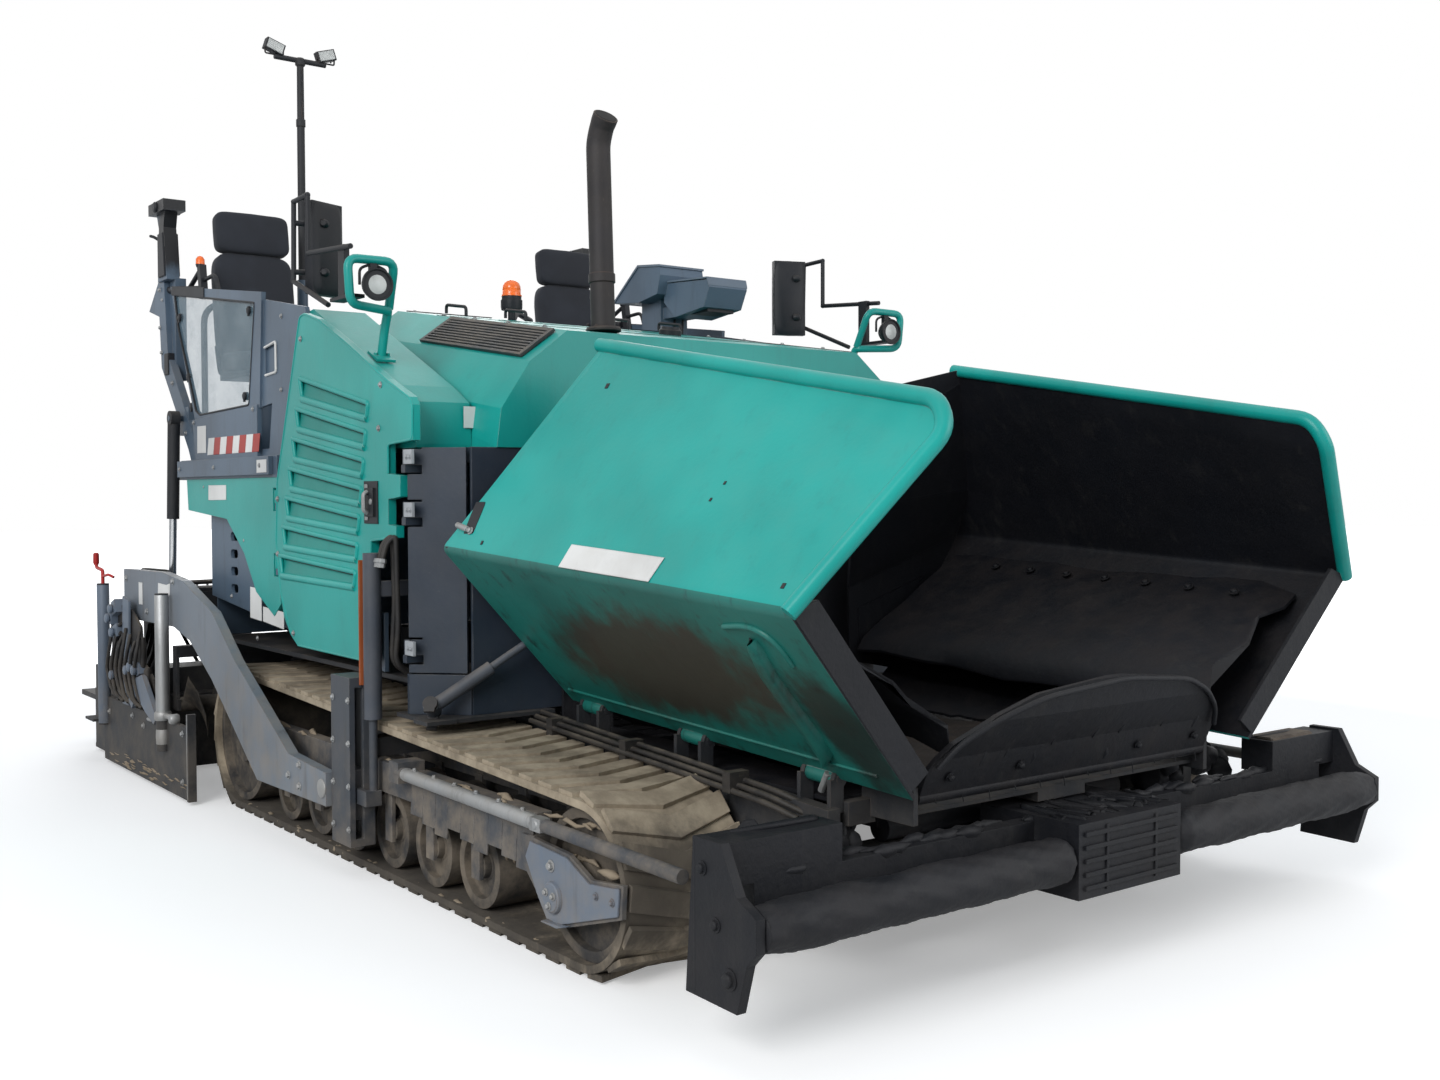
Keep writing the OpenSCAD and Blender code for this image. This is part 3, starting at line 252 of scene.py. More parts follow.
PAINT_SHADE = (0.012, 0.013, 0.015)
MAT = {
    "teal": surface("teal_paint", TEAL, 0.36, dust=0.1, grime=0.12, wear=0.5,
    wear_rgb=(0.42, 0.5, 0.46), vary=0.08, coat=0.06),
    "teal_low": surface("teal_paint_worn", (0.008, 0.135, 0.112), 0.42, dust=0.22, dust_rgb=(0.06, 0.048, 0.036),
                        grime=0.9, grime_rgb=(0.01, 0.01, 0.01), wear=0.6, coat=0.1, low=1.2, spots=on_both(
                            ((2.2, 1.08, 0.96), (0.85, 0.5, 0.26), (0.03, 0.021, 0.016), 0.92),
                            ((3.02, 1.02, 0.84), (0.16, 0.4, 0.34), (0.012, 0.01, 0.009), 0.85))),
    # a darker copy of the teal for the louvre fins: painted shade of the louvre recesses
    "teal_painted_shade": surface("teal_paint_shaded", (0.003, 0.215, 0.185), dust=0.0, grime=0.15, vary=0.1),
    "grey": surface("grey_paint", GREY, 0.42, dust=0.25, grime=0.3, wear=0.5, coat=0.05),
    "pale_grey": surface("console_hood_paint", (0.115, 0.15, 0.195), grime=0.2, dust=0.35),
    # the grey paint darkened for the front wall and front doors: painted shade of faces turned away from the light
    "door": surface("grey_paint_in_painted_shade", (0.022, 0.032, 0.048), 0.42, dust=0.22, grime=0.25, wear=0.35),
    "post": surface("post_paint", GREY, 0.42, dust=0.35, grime=0.3, wear=0.5, spots=on_both(
        ((-2.16, 1.33, 2.93), (0.115, 0.6, 0.25), PAINT_SHADE, 1.0),
        ((-2.185, 1.33, 3.12), (0.4, 0.6, 0.08), PAINT_SHADE, 1.0))),
    "arm": surface("grey_arm_paint", (0.15, 0.175, 0.205), grime=0.5, grime_rgb=(0.05, 0.04, 0.035), wear=0.8,
                   wear_rgb=(0.16, 0.08, 0.045), low=1.3),
    "guard": surface("guard_paint", (0.125, 0.158, 0.205), dust=0.55, grime=0.4, wear=0.7,
    wear_rgb=(0.13, 0.08, 0.05), low=0.7),
    "tow_cylinder": surface("tow_cylinder_paint", (0.06, 0.07, 0.088), grime=0.5, wear=0.5),
    "slide": surface("tow_slide_paint", (0.04, 0.047, 0.058), 0.5, dust=0.4, grime=0.5, wear=0.6),
    "dark": surface("dark_steel", (0.02, 0.022, 0.026), 0.6, dust=0.42,
    dust_rgb=(0.21, 0.18, 0.145), grime=0.4, wear=0.5,
                    wear_rgb=(0.13, 0.1, 0.08), bump=0.05),
    "frame": surface("track_frame_paint", (0.05, 0.056, 0.066), 0.6, dust=0.75, grime=0.5,
    wear=0.6, bump=0.06, low=1.1),
    "wheel": surface("wheel_cast", (0.035, 0.034, 0.034), 0.75, dust=0.6, grime=0.5, bump=0.06, low=1.4),
    "caked": surface("bitumen_caked", (0.004, 0.005, 0.008), 0.6, dust=0.22, dust_rgb=(0.07, 0.062, 0.058), grime=0.5,
                     bump=0.1, bump_scale=34.0),
    "liner": surface("hopper_liner", (0.003, 0.004, 0.007), 0.62, dust=0.25, dust_rgb=(0.055, 0.04, 0.032), grime=0.6,
                     bump=0.1, bump_scale=26.0, low=1.2),
    "mix": surface("old_asphalt_mix", (0.016, 0.013, 0.012), 0.85, dust=0.55, dust_rgb=(0.075, 0.056, 0.044), grime=0.4,
                   bump=0.14, bump_scale=55.0, low=0.5),
    "rusty": surface("tar_and_rust", (0.06, 0.046, 0.038), 0.75, dust=0.6, grime=0.6, bump=0.1, wear=0.4),
    # belt rubber: the first spot darkens the lower run, painted shade where the belt meets the ground; the second makes
    # the belt darker round its front end
    "rubber": surface("belt_rubber", (0.22, 0.18, 0.13), 0.86, dust=1.0, dust_rgb=(0.5, 0.42, 0.31), grime=0.4,
                      grime_rgb=(0.035, 0.03, 0.026), bump=0.07, bump_scale=45.0, low=2.2, spots=on_both(
                          ((0.3, 1.45, 0.02), (2.9, 0.5, 0.16), (0.04, 0.037, 0.035), 0.85),
                          ((2.62, 1.42, 0.3), (0.34, 0.6, 0.36), (0.075, 0.065, 0.055), 0.85))),
    "mud": surface("dried_mud", (0.27, 0.215, 0.15), 0.95, dust=0.9, grime_rgb=(0.05, 0.04, 0.03), bump=0.1,
    bump_scale=30.0, low=2.5),
    "zinc": surface("galvanised", (0.33, 0.34, 0.345), 0.48, metal=0.7, bump=0.03),
    "chrome": surface("ground_rod", (0.62, 0.63, 0.64), 0.16, metal=1.0, dust=0.15, grime=0.15, bump=0.004),
    "exhaust": surface("exhaust_metal", (0.036, 0.034, 0.036), 0.62, metal=0.4, dust=0.35, grime=0.5, wear=0.3,
                       wear_rgb=(0.16, 0.09, 0.06), bump=0.04),
    "black": surface("black_plastic", (0.006, 0.008, 0.012), 0.5, dust=0.14, grime=0.1),
    "slats": surface("slat_paint", (0.03, 0.034, 0.038), 0.5, grime=0.4, wear=0.3),
    "orange": surface("rust_orange", (0.36, 0.085, 0.022), 0.8, grime=0.4, wear=0.3, bump=0.06),
    "plate": surface("blank_plate", (0.72, 0.72, 0.7), 0.4, dust=0.35, grime=0.12, bump=0.004),
    "stripe_red": surface("stripe_red", (0.36, 0.035, 0.03), dust=0.4, grime=0.2),
    "hose": surface("hose_rubber", (0.014, 0.014, 0.015), 0.55, grime=0.1),
    "leaf": surface("hinge_leaf", (0.36, 0.38, 0.4), dust=0.3),
    "red": surface("red_paint", (0.42, 0.02, 0.018), 0.4, dust=0.3, grime=0.2),
    "glass": glass(),
    "lens": plain("lamp_lens", (0.62, 0.64, 0.62), 0.15, clear=0.3),
    "mirror": plain("mirror_glass", (0.55, 0.58, 0.6), 0.06, 1.0),
    "amber": plain("amber_lens", (0.85, 0.16, 0.02), 0.18, glow=0.15, clear=0.2),
    # black for the exhaust mouth: soot, and painted shade of the pipe's bore
    "soot": plain("soot", (0.006, 0.006, 0.006), 0.95),
    "seat_cloth": seat_cloth(),
}

# looks of the nodes that come from the CAD; a name that ends in _ stands for its right and left nodes
CAD_LOOK = {
    "dark": "chassis engine_mounts apron_bearings wing_clevises auger_gearcase engine_block screed_frame lift_cylinders"
            " screed_extension_ end_gate_ lamp_mast",
    "teal": "hood body_sides lamp_guards side_flap_",
    "grey": "side_skirts side_panels operator_deck control_console",
    # front wall and front doors take the grey darkened with painted shade
    "door": "front_wall front_door_",
    "arm": "tow_arms",
    "frame": "track_frames",
    "wheel": "track_wheels auger_",
    "rubber": "track_",
    "liner": "conveyor hopper_rear_wall front_apron",
    "caked": "push_beam push_roller_",
    "black": "work_lamps wing_mirror seat_",
    "slats": "hood_grille",
    "post": "rear_posts",
    "chrome": "lift_rods",
    "tow_cylinder": "tow_cylinders wing_rod_ wing_cylinder_",
    "slide": "tow_slides tow_guides",
    "exhaust": "exhaust_pipe",
    "orange": "beacons",
    "glass": "side_windows",
}
for look, names in CAD_LOOK.items():
    for n in names.split():
        for node in [n + side for side, _ in SIDES] if n.endswith("_") else [n]:
            nodes[node].data.materials.clear()
            nodes[node].data.materials.append(MAT[look])


# ---------------------------------------------------------------- mesh helpers

def rounded(points, bend, steps=5):
    """Points of a path with its corners rounded."""
    pts = [V(p) for p in points]
    out = [pts[0]]
    for a, p, b in zip(pts, pts[1:], pts[2:]):
        cut = min(bend, (a - p).length * 0.48, (b - p).length * 0.48)
        u, w = p + (a - p).normalized() * cut, p + (b - p).normalized() * cut
        for k in range(steps + 1):
            t = k / steps
            out.append(u * (1 - t) ** 2 + p * 2 * t * (1 - t) + w * t ** 2)
    return out + [pts[-1]]


class Piece:
    """Shapes gathered in one mesh, in metres, that rides on one body and has one look."""

    def __init__(self, name, look, body="tractor", side=1):
        self.name, self.look, self.body, self.side = name, look, body, side
        self.bm = bmesh.new()

    def add(self, verts, faces, slot=0):
        vs = [self.bm.verts.new((v[0], v[1] * self.side, v[2])) for v in verts]
        made = [self.bm.faces.new([vs[i] for i in f]) for f in faces]
        for face in made:
            face.material_index = slot
        return made

    def box(self, lo, hi, turn=None, slot=0):
        """A box from lo to hi; turn is (angle in degrees, axis) about its middle."""
        lo, hi = V(lo), V(hi)
        mid = (lo + hi) / 2
        spin = Matrix.Rotation(math.radians(turn[0]), 3, turn[1]) if turn else Matrix.Identity(3)
        vs = [mid + spin @ (V((x, y, z)) - mid) for x in (lo.x, hi.x) for y in (lo.y, hi.y) for z in (lo.z, hi.z)]
        self.add(vs, [(0, 1, 3, 2), (4, 6, 7, 5), (0, 4, 5, 1), (2, 3, 7, 6), (0, 2, 6, 4), (1, 5, 7, 3)], slot)

    def prism(self, outline, lo, hi, axis="y", slot=0):
        """An outline extruded along an axis, given in the two other axes."""
        k = "xyz".index(axis)
        vs = [V((*p[:k], h, *p[k:])) for h in (lo, hi) for p in outline]
        n = len(outline)
        sides = [(i, n + i, n + (i + 1) % n, (i + 1) % n) for i in range(n)]
        self.add(vs, [tuple(range(n)), tuple(range(2 * n - 1, n - 1, -1))] + sides, slot)

    def loft(self, rings, closed=True, slot=0):
        """Rings of equal length joined by quads, with end caps where they are closed."""
        n = len(rings[0])
        fs = []
        for k in range(len(rings) - 1):
            for i in range(n if closed else n - 1):
                j = (i + 1) % n
                fs.append((k * n + i, k * n + j, (k + 1) * n + j, (k + 1) * n + i))
        if closed:
            fs += [tuple(range(n - 1, -1, -1)), tuple((len(rings) - 1) * n + i for i in range(n))]
        self.add([p for r in rings for p in r], fs, slot)

    def tube(self, points, r, bend=0.0, seg=12, taper=None):
        """A round bar along a path; taper gives the radius at each point as a share of r."""
        pts = rounded(points, bend) if bend else [V(p) for p in points]
        side = None
        rings = []
        for k, p in enumerate(pts):
            d = (pts[min(k + 1, len(pts) - 1)] - pts[max(k - 1, 0)]).normalized()
            if side is None:
                side = d.orthogonal().normalized()
            side = (side - d * side.dot(d)).normalized()
            up = d.cross(side)
            q = r * (taper[k] if taper else 1)
            rings.append([p + side * q * math.cos(a) + up * q * math.sin(a) for a in turns(seg)])
        self.loft(rings)

    def turned(self, a, b, profile, seg=20, slot=0):
        """A turned form between two points; profile is (share of the way, radius)."""
        a, b = V(a), V(b)
        d = (b - a).normalized()
        u = d.orthogonal().normalized()
        w = d.cross(u)
        ring = [u * math.cos(t) + w * math.sin(t) for t in turns(seg)]
        self.loft([[a.lerp(b, t) + q * r for q in ring] for t, r in profile], slot=slot)

    def bolt(self, p, d, r=0.012, h=0.01):
        """A washer and a hexagon head at p that looks along d."""
        p, d = V(p), V(d).normalized()
        top = p + d * WASHER
        self.turned(p, top, [(0, r * 1.5), (1, r * 1.5)], 14)
        self.turned(top, p + d * (h + WASHER), [(0, r), (0.75, r), (1, r * 0.8)], 6)

    def bolts(self, y, r, h, *places):
        """Bolts on a side face at y, at pairs of X and Z."""
        for x, z in places:
            self.bolt((x, y, z), (0, 1, 0), r, h)

    def plates(self, y, *outlines):
        """Thin blank plates on a side face at y."""
        for outline in outlines:
            self.prism(outline, y, y + PLATE)

    def slab(self, mid, u, v, t):
        """A thin plate with cut corners round mid, with half sides u and v and thickness vector t."""
        c = 0.12
        corners = [(-1 + c, -1), (1 - c, -1), (1, -1 + c), (1, 1 - c), (1 - c, 1), (-1 + c, 1),
            (-1, 1 - c), (-1, -1 + c)]
        self.loft([[mid + u * a + v * b + t * k for a, b in corners] for k in (0, 1)])

    def lump(self, points, r, seg=8, rough=0.35):
        """An uneven bead of dried matter along a path."""
        pts = [V(p) for p in points]
        taper = [(0.25 if k in (0, len(pts) - 1) else 1) * rng.uniform(1 - rough, 1 + rough) for k in range(len(pts))]
        self.tube(pts, r, seg=seg, taper=taper)

    def done(self, bevel, slot, angle=34, looks=None):
        """Makes the object, with edges bevelled and faces smoothed up to an angle."""
        bmesh.ops.remove_doubles(self.bm, verts=self.bm.verts, dist=0.00002)
        bmesh.ops.recalc_face_normals(self.bm, faces=self.bm.faces)
        if bevel:
            sharp = [e for e in self.bm.edges if len(e.link_faces) == 2 and e.calc_face_angle(0) > 0.7]
            bmesh.ops.bevel(self.bm, geom=sharp, offset=bevel, segments=2, affect="EDGES", clamp_overlap=True)
        mesh = bpy.data.meshes.new(self.name)
        self.bm.to_mesh(mesh)
        self.bm.free()
        for p in mesh.polygons:
            p.use_smooth = True
        mesh.set_sharp_from_angle(angle=math.radians(angle))
        for look in looks or [self.look]:
            mesh.materials.append(MAT[look])
        ob = bpy.data.objects.new(self.name, mesh)
        bpy.context.scene.collection.objects.link(ob)
        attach(ob, self.body)
        return ob


def both(*pieces):
    """Mirrors the pieces to the right, then draws them on the left again."""
    for _, side in SIDES:
        for p in pieces:
            p.side = side
        yield side


def flat(y, *points):
    """A path in the plane y from pairs of X and Z."""
    return [(x, y, z) for x, z in points]


def turns(count, start=0.0):
    """The angles that part a full turn evenly."""
    return [2 * math.pi * k / count + start for k in range(count)]


def barrel(end, r, share):
    """A turned profile of radius r that narrows to end over a share of its length at both ends."""
    return [(0, end), (share, r), (1 - share, r), (1, end)]


def signed(v, power):
    """A power of a number that keeps its sign."""
    return math.copysign(abs(v) ** power, v)


# ---------------------------------------------------------------- hopper wings

# the wing's fold lines from its foot to its rim, at its rear and front ends, and the bend at each
WING_REAR = [V(p) for p in (
    (1.25, 0.85, 0.715), (1.174, 1.37, 1.317), (1.345, 1.262, 1.537), (1.575, 0.962, 2.01), (1.6, 0.93, 2.06))]
WING_FRONT = [V(p) for p in (
    (3.11, 0.85, 0.63), (3.174, 1.377, 1.205), (3.246, 1.212, 1.412), (3.318, 0.975, 1.672), (3.262, 0.931, 1.766))]
WING_BEND = (0, 0.03, 0.035, 0.03, 0)


def wing_profile(t):
    """The wing's section at a share of its length, with rounded folds, and the strip each point belongs to."""
    pts = [a.lerp(b, t) for a, b in zip(WING_REAR, WING_FRONT)]
    out, strip = [pts[0]], [0]
    for i in range(1, 4):
        p, a, b = pts[i], pts[i - 1], pts[i + 1]
        cut = min(WING_BEND[i], (a - p).length * 0.45, (b - p).length * 0.45)
        u, w = p + (a - p).normalized() * cut, p + (b - p).normalized() * cut
        for k in range(5):
            q = k / 4
            out.append(u * (1 - q) ** 2 + p * 2 * q * (1 - q) + w * q ** 2)
            strip.append(i if k > 2 else i - 1)
        if i < 3:
            nxt = b + (p - b).normalized() * min(WING_BEND[i + 1], (b - p).length * 0.45)
            for q in (0.25, 0.5, 0.75):
                out.append(w.lerp(nxt, q))
                strip.append(i)
    return out + [pts[4]], strip + [3]


def on_strip(i, x, z, lift=0.0):
    """The point at x and z of a strip of the wing, 0 the low panel, 1 the middle and 2 the upper, lifted outwards."""
    t = 0.5
    for _ in range(12):
        a, b = WING_REAR[i].lerp(WING_FRONT[i], t), WING_REAR[i + 1].lerp(WING_FRONT[i + 1], t)
        s = (z - a.z) / (b.z - a.z)
        lo = WING_REAR[i].lerp(WING_REAR[i + 1], s)
        hi = WING_FRONT[i].lerp(WING_FRONT[i + 1], s)
        t = (x - lo.x) / (hi.x - lo.x)
    n = (b - a).cross(hi - lo).normalized()
    return lo.lerp(hi, t) + (n if n.y > 0 else -n) * lift


def wing(name, side):
    body = "hopper_wing_" + name
    w = Piece("wing_shell_" + name, "teal", body, side)
    thick, flange = 0.013, V((0.014, 0, 0))
    outer = [wing_profile(k / 26)[0] for k in range(27)]
    strip = wing_profile(0)[1]
    m, n = len(outer), len(outer[0])
    inner = []
    for row in outer:
        steps = [row[min(i + 1, n - 1)] - row[max(i - 1, 0)] for i in range(n)]
        inner.append([p + V((0, -d.z, d.y)).normalized() * thick for p, d in zip(row, steps)])
    far = m * n
    quads = []
    for k in range(m - 1):
        for i in range(n - 1):
            a, b, c, d = k * n + i, k * n + i + 1, (k + 1) * n + i + 1, (k + 1) * n + i
            quads += [((a, b, c, d), 0 if strip[i] else 1), ((a + far, d + far, c + far, b + far), 2)]
    for k in range(m - 1):
        for i in (0, n - 1):
            a, d = k * n + i, (k + 1) * n + i
            quads.append(((a, d, d + far, a + far), 0))
    for i in range(n - 1):
        for k in (0, m - 1):
            a = k * n + i
            quads.append(((a, a + far, a + 1 + far, a + 1), 2 if k else 0))
    made = w.add([p for row in outer + inner for p in row], [f for f, _ in quads])
    for face, (_, slot) in zip(made, quads):
        face.material_index = slot
    # rim tube, bent round the front corner
    w.tube([(1.58, 0.93, 2.063), (3.285, 0.929, 1.776), (3.333, 0.95, 1.69), (3.171, 1.375, 1.202)], 0.026, 0.09, 14)
    # rear end plate
    edge = [(1.249, 0.6, 0.77), (1.276, 0.57, 1.1), (1.314, 0.56, 1.45), (1.414, 0.58, 1.75), (1.494, 0.6, 1.98)]
    outside = [p + V((0.02, -0.006, 0.004)) for p in WING_REAR]
    for i in range(4):
        quad = [V(edge[i]), V(edge[i + 1]), outside[i + 1], outside[i]]
        w.loft([quad, [p + flange for p in quad]], slot=2)
    # flange bar along the lower front edge
    h, k = WING_FRONT[0], WING_FRONT[1]
    quad = [h + V((-0.012, -0.06, 0.075)), k + V((-0.012, -0.105, 0.03)), k + V((-0.012, -0.009, -0.001)),
        h + V((-0.012, 0.014, 0.02))]
    w.loft([quad, [p + flange for p in quad]], slot=3)
    # hinge tubes with end rings
    along = (WING_FRONT[0] - WING_REAR[0]).normalized()
    for x in (1.42, 2.06, 2.72):
        p = WING_REAR[0] + along * ((x - WING_REAR[0].x) / along.x)
        w.turned(p - along * 0.06, p + along * 0.06, [(0, 0.017), *barrel(0.025, 0.028, 0.05), (1, 0.017)], 20, slot=1)
    # eye of the cylinder and its bracket
    w.turned((1.185, 0.96, 0.985), (1.235, 0.96, 0.985),
        [(0, 0.016), *barrel(0.031, 0.035, 0.1), (1, 0.016)], 24, slot=1)
    w.box((1.228, 0.94, 0.96), (1.275, 1.0, 0.99), slot=1)
    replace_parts(w.done(0, "green_paint", 38, ["teal", "teal_low", "liner", "caked"]), body)
    # pressed rib and beads on the low panel
    d = Piece("wing_ribs_" + name, "teal_low", body, side)
    rib = [(2.905, 1.11, 0.01), (2.892, 1.085, 0.03), (2.855, 1.0, 0.034), (2.848, 0.9, 0.034), (2.846, 0.8, 0.034),
           (2.832, 0.735, 0.03), (2.8, 0.705, 0.012)]
    arch = [math.pi * i / 8 for i in range(9)]
    d.loft([[on_strip(0, x + r * math.cos(a), z + 0.1 * r * math.cos(a), 0.03 * math.sin(a) ** 0.6 - 0.001)
        for a in arch]
            for x, z, r in rib], closed=False)
    hook = ((2.8, 1.14), (2.892, 1.15), (2.952, 1.148), (2.998, 1.126), (3.016, 1.09), (3.01, 1.04))
    d.tube([on_strip(0, x, z, 0.003) for x, z in hook], 0.01, 0.03, 8)
    d.tube([on_strip(0, x, z, 0.001) for x, z in ((1.3, 0.768), (2.0, 0.738), (3.02, 0.696))], 0.006, 0, 8)
    d.done(0.0, "green_paint", 60)
    # thin black line along the rib's rear edge: painted shade beside the rib
    d = Piece("wing_rib_painted_shade_" + name, "black", body, side)
    d.tube([on_strip(0, x - r * 0.9 - 0.004, z, 0.001) for x, z, r in rib], 0.005, 0.03, 6)
    d.done(0, "green_paint", 60)
    # blank plate, slot with pin, small holes
    p = Piece("wing_plates_" + name, "plate", body, side)
    quad = [on_strip(1, x, z, 0.001) for x, z in ((2.019, 1.353), (2.535, 1.326), (2.518, 1.254), (2.005, 1.279))]
    lift = on_strip(1, 2.2, 1.3, 0.002) - on_strip(1, 2.2, 1.3)
    p.loft([quad, [q + lift for q in quad]])
    p.done(0.0008, "green_paint")
    q = Piece("wing_pin_" + name, "zinc", body, side)
    q.tube([on_strip(1, 1.245, 1.4, 0.012), on_strip(1, 1.33, 1.386, 0.012)], 0.011, 0, 12)
    q.bolt(on_strip(1, 1.338, 1.384, 0.002), on_strip(1, 1.3, 1.4, 1) - on_strip(1, 1.3, 1.4), 0.01)
    q.tube([(2.77, 0.876, 0.662), (2.73, 0.868, 0.6)], 0.012, 0, 8)
    q.done(0.0008, "zinc")
    cut = Piece("wing_slot_" + name, "black", body, side)
    for i, x, z, wide, high in ((1, 1.325, 1.432, 0.034, 0.058), (1, 1.45, 1.345, 0.007, 0.007),
            (1, 3.1, 1.27, 0.007, 0.007),
                                (2, 1.75, 1.9, 0.009, 0.009), (2, 2.6, 1.5, 0.005, 0.005),
                                (2, 2.62, 1.55, 0.005, 0.005)):
        o = on_strip(i, x, z)
        cut.slab(on_strip(i, x, z, 0.0002), on_strip(i, x + wide, z) - o, on_strip(i, x, z + high) - o,
            on_strip(i, x, z, 0.0015) - o)
    cut.done(0, "dark_paint")
    # worn liner sheet inside, curled at its front edge
    s = Piece("wing_liner_" + name, "liner", body, side)
    section = [(1.262, 1.165), (1.17, 1.135), (1.05, 1.09), (0.9, 1.0), (0.77, 0.925), (0.67, 0.85), (0.625, 0.76)]
    rings = []
    for k in range(13):
        t = k / 12
        curl = -0.03 * (t - 0.9) * 10 if t > 0.9 else 0
        row = []
        for i, (y, z) in enumerate(section):
            ragged = 0.012 * math.sin(9 * t + 2.1 * i) + 0.01 * math.sin(23 * t + i)
            deep = (1 - t) * 0.05 * math.sin(math.pi * i / 6)
            x = 1.285 + 1.76 * t + 0.03 * math.sin(2.7 * i) * t
            row.append(V((x, y - 0.01 * t + ragged * 0.4, z + 0.06 * (1 - t) - deep + curl + ragged * 0.6)))
        rings.append(row + [q + V((0, 0.004, -0.012)) for q in reversed(row)])
    s.loft(rings)
    for i in range(7):
        s.bolt((1.6 + 0.21 * i, 1.19 - 0.01 * i, 1.185 - 0.008 * i), (0, -0.45, 0.9), 0.014)
    s.done(0.0, "dark_paint", 50)


for name, side in SIDES:
    wing(name, side)


# ---------------------------------------------------------------- seats

def cushion(name, body, side, mid, half, tilt):
    """A stuffed block with crowned faces and soft folds."""
    mid, half = V(mid), V(half)
    spin = Matrix.Rotation(math.radians(tilt), 3, "Y")
    p = Piece(name, "seat_cloth", body, side)
    rows, crown, power = 22, 0.09, 0.3
    thin, wide = (0, 2) if half.x < half.z else (2, 0)
    rings = []
    for i in range(1, rows):
        lat = math.pi * i / rows - math.pi / 2
        ring = []
        for lon in turns(40):
            flank = signed(math.cos(lat), power)
            q = V((flank * signed(math.cos(lon), power), flank * signed(math.sin(lon), power),
                signed(math.sin(lat), power)))
            q[thin] *= 1 - crown * (q.y * q.y + q[wide] * q[wide]) * abs(q[thin])
            q *= 1 + 0.0072 * math.sin(7 * q.y + 3 * q.z + mid.z * 9) * math.cos(5 * q.z - 2 * q.x)
            ring.append(mid + spin @ V((q.x * half.x, q.y * half.y, q.z * half.z)))
        rings.append(ring)
    p.loft(rings)
    p.done(0, "seat_cover", 70)


def seat(name, side):
    body = "seat_" + name
    back = Matrix.Rotation(math.radians(-8), 3, "Y")
    cushion("seat_base_" + name, body, side, (-1.515, 1.0, 2.215), (0.225, 0.22, 0.062), 3)
    cushion("seat_back_" + name, body, side, (-1.775, 1.0, 2.525), (0.058, 0.216, 0.3), -8)
    cushion("seat_head_" + name, body, side, (-1.812, 1.0, 2.935), (0.05, 0.2, 0.112), -8)
    p = Piece("seat_frame_" + name, "black", body, side)
    p.turned((-1.52, 1.0, 2.102), (-1.52, 1.0, 2.14), [(0, 0.1), (0.6, 0.1), (1, 0.085)], 32)
    p.box((-1.72, 0.79, 2.128), (-1.31, 1.21, 2.16))
    for y in (0.8, 1.2):
        p.tube(flat(y, (-1.42, 2.15), (-1.74, 2.165), (-1.79, 2.32)), 0.014, 0.04, 10)
    # moulded shell behind the back
    mid = V((-1.832, 1.0, 2.545))
    p.loft([[mid + back @ V((dx, signed(math.cos(a), 0.4) * 0.19 * s, signed(math.sin(a), 0.4) * 0.275 * s))
        for a in turns(28)]
            for dx, s in ((-0.018, 0.8), (-0.012, 0.95), (0, 1), (0.012, 0.97))])
    for y in (-0.07, 0.07):
        p.tube([mid + back @ V((0.02, y, z)) for z in (0.24, 0.31)], 0.008, 0, 8)
    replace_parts(p.done(0.002, "seat_cover"), body)


for name, side in SIDES:
    seat(name, side)


# ---------------------------------------------------------------- handle loops, lamps, mirrors, beacons, exhaust, lamp mast

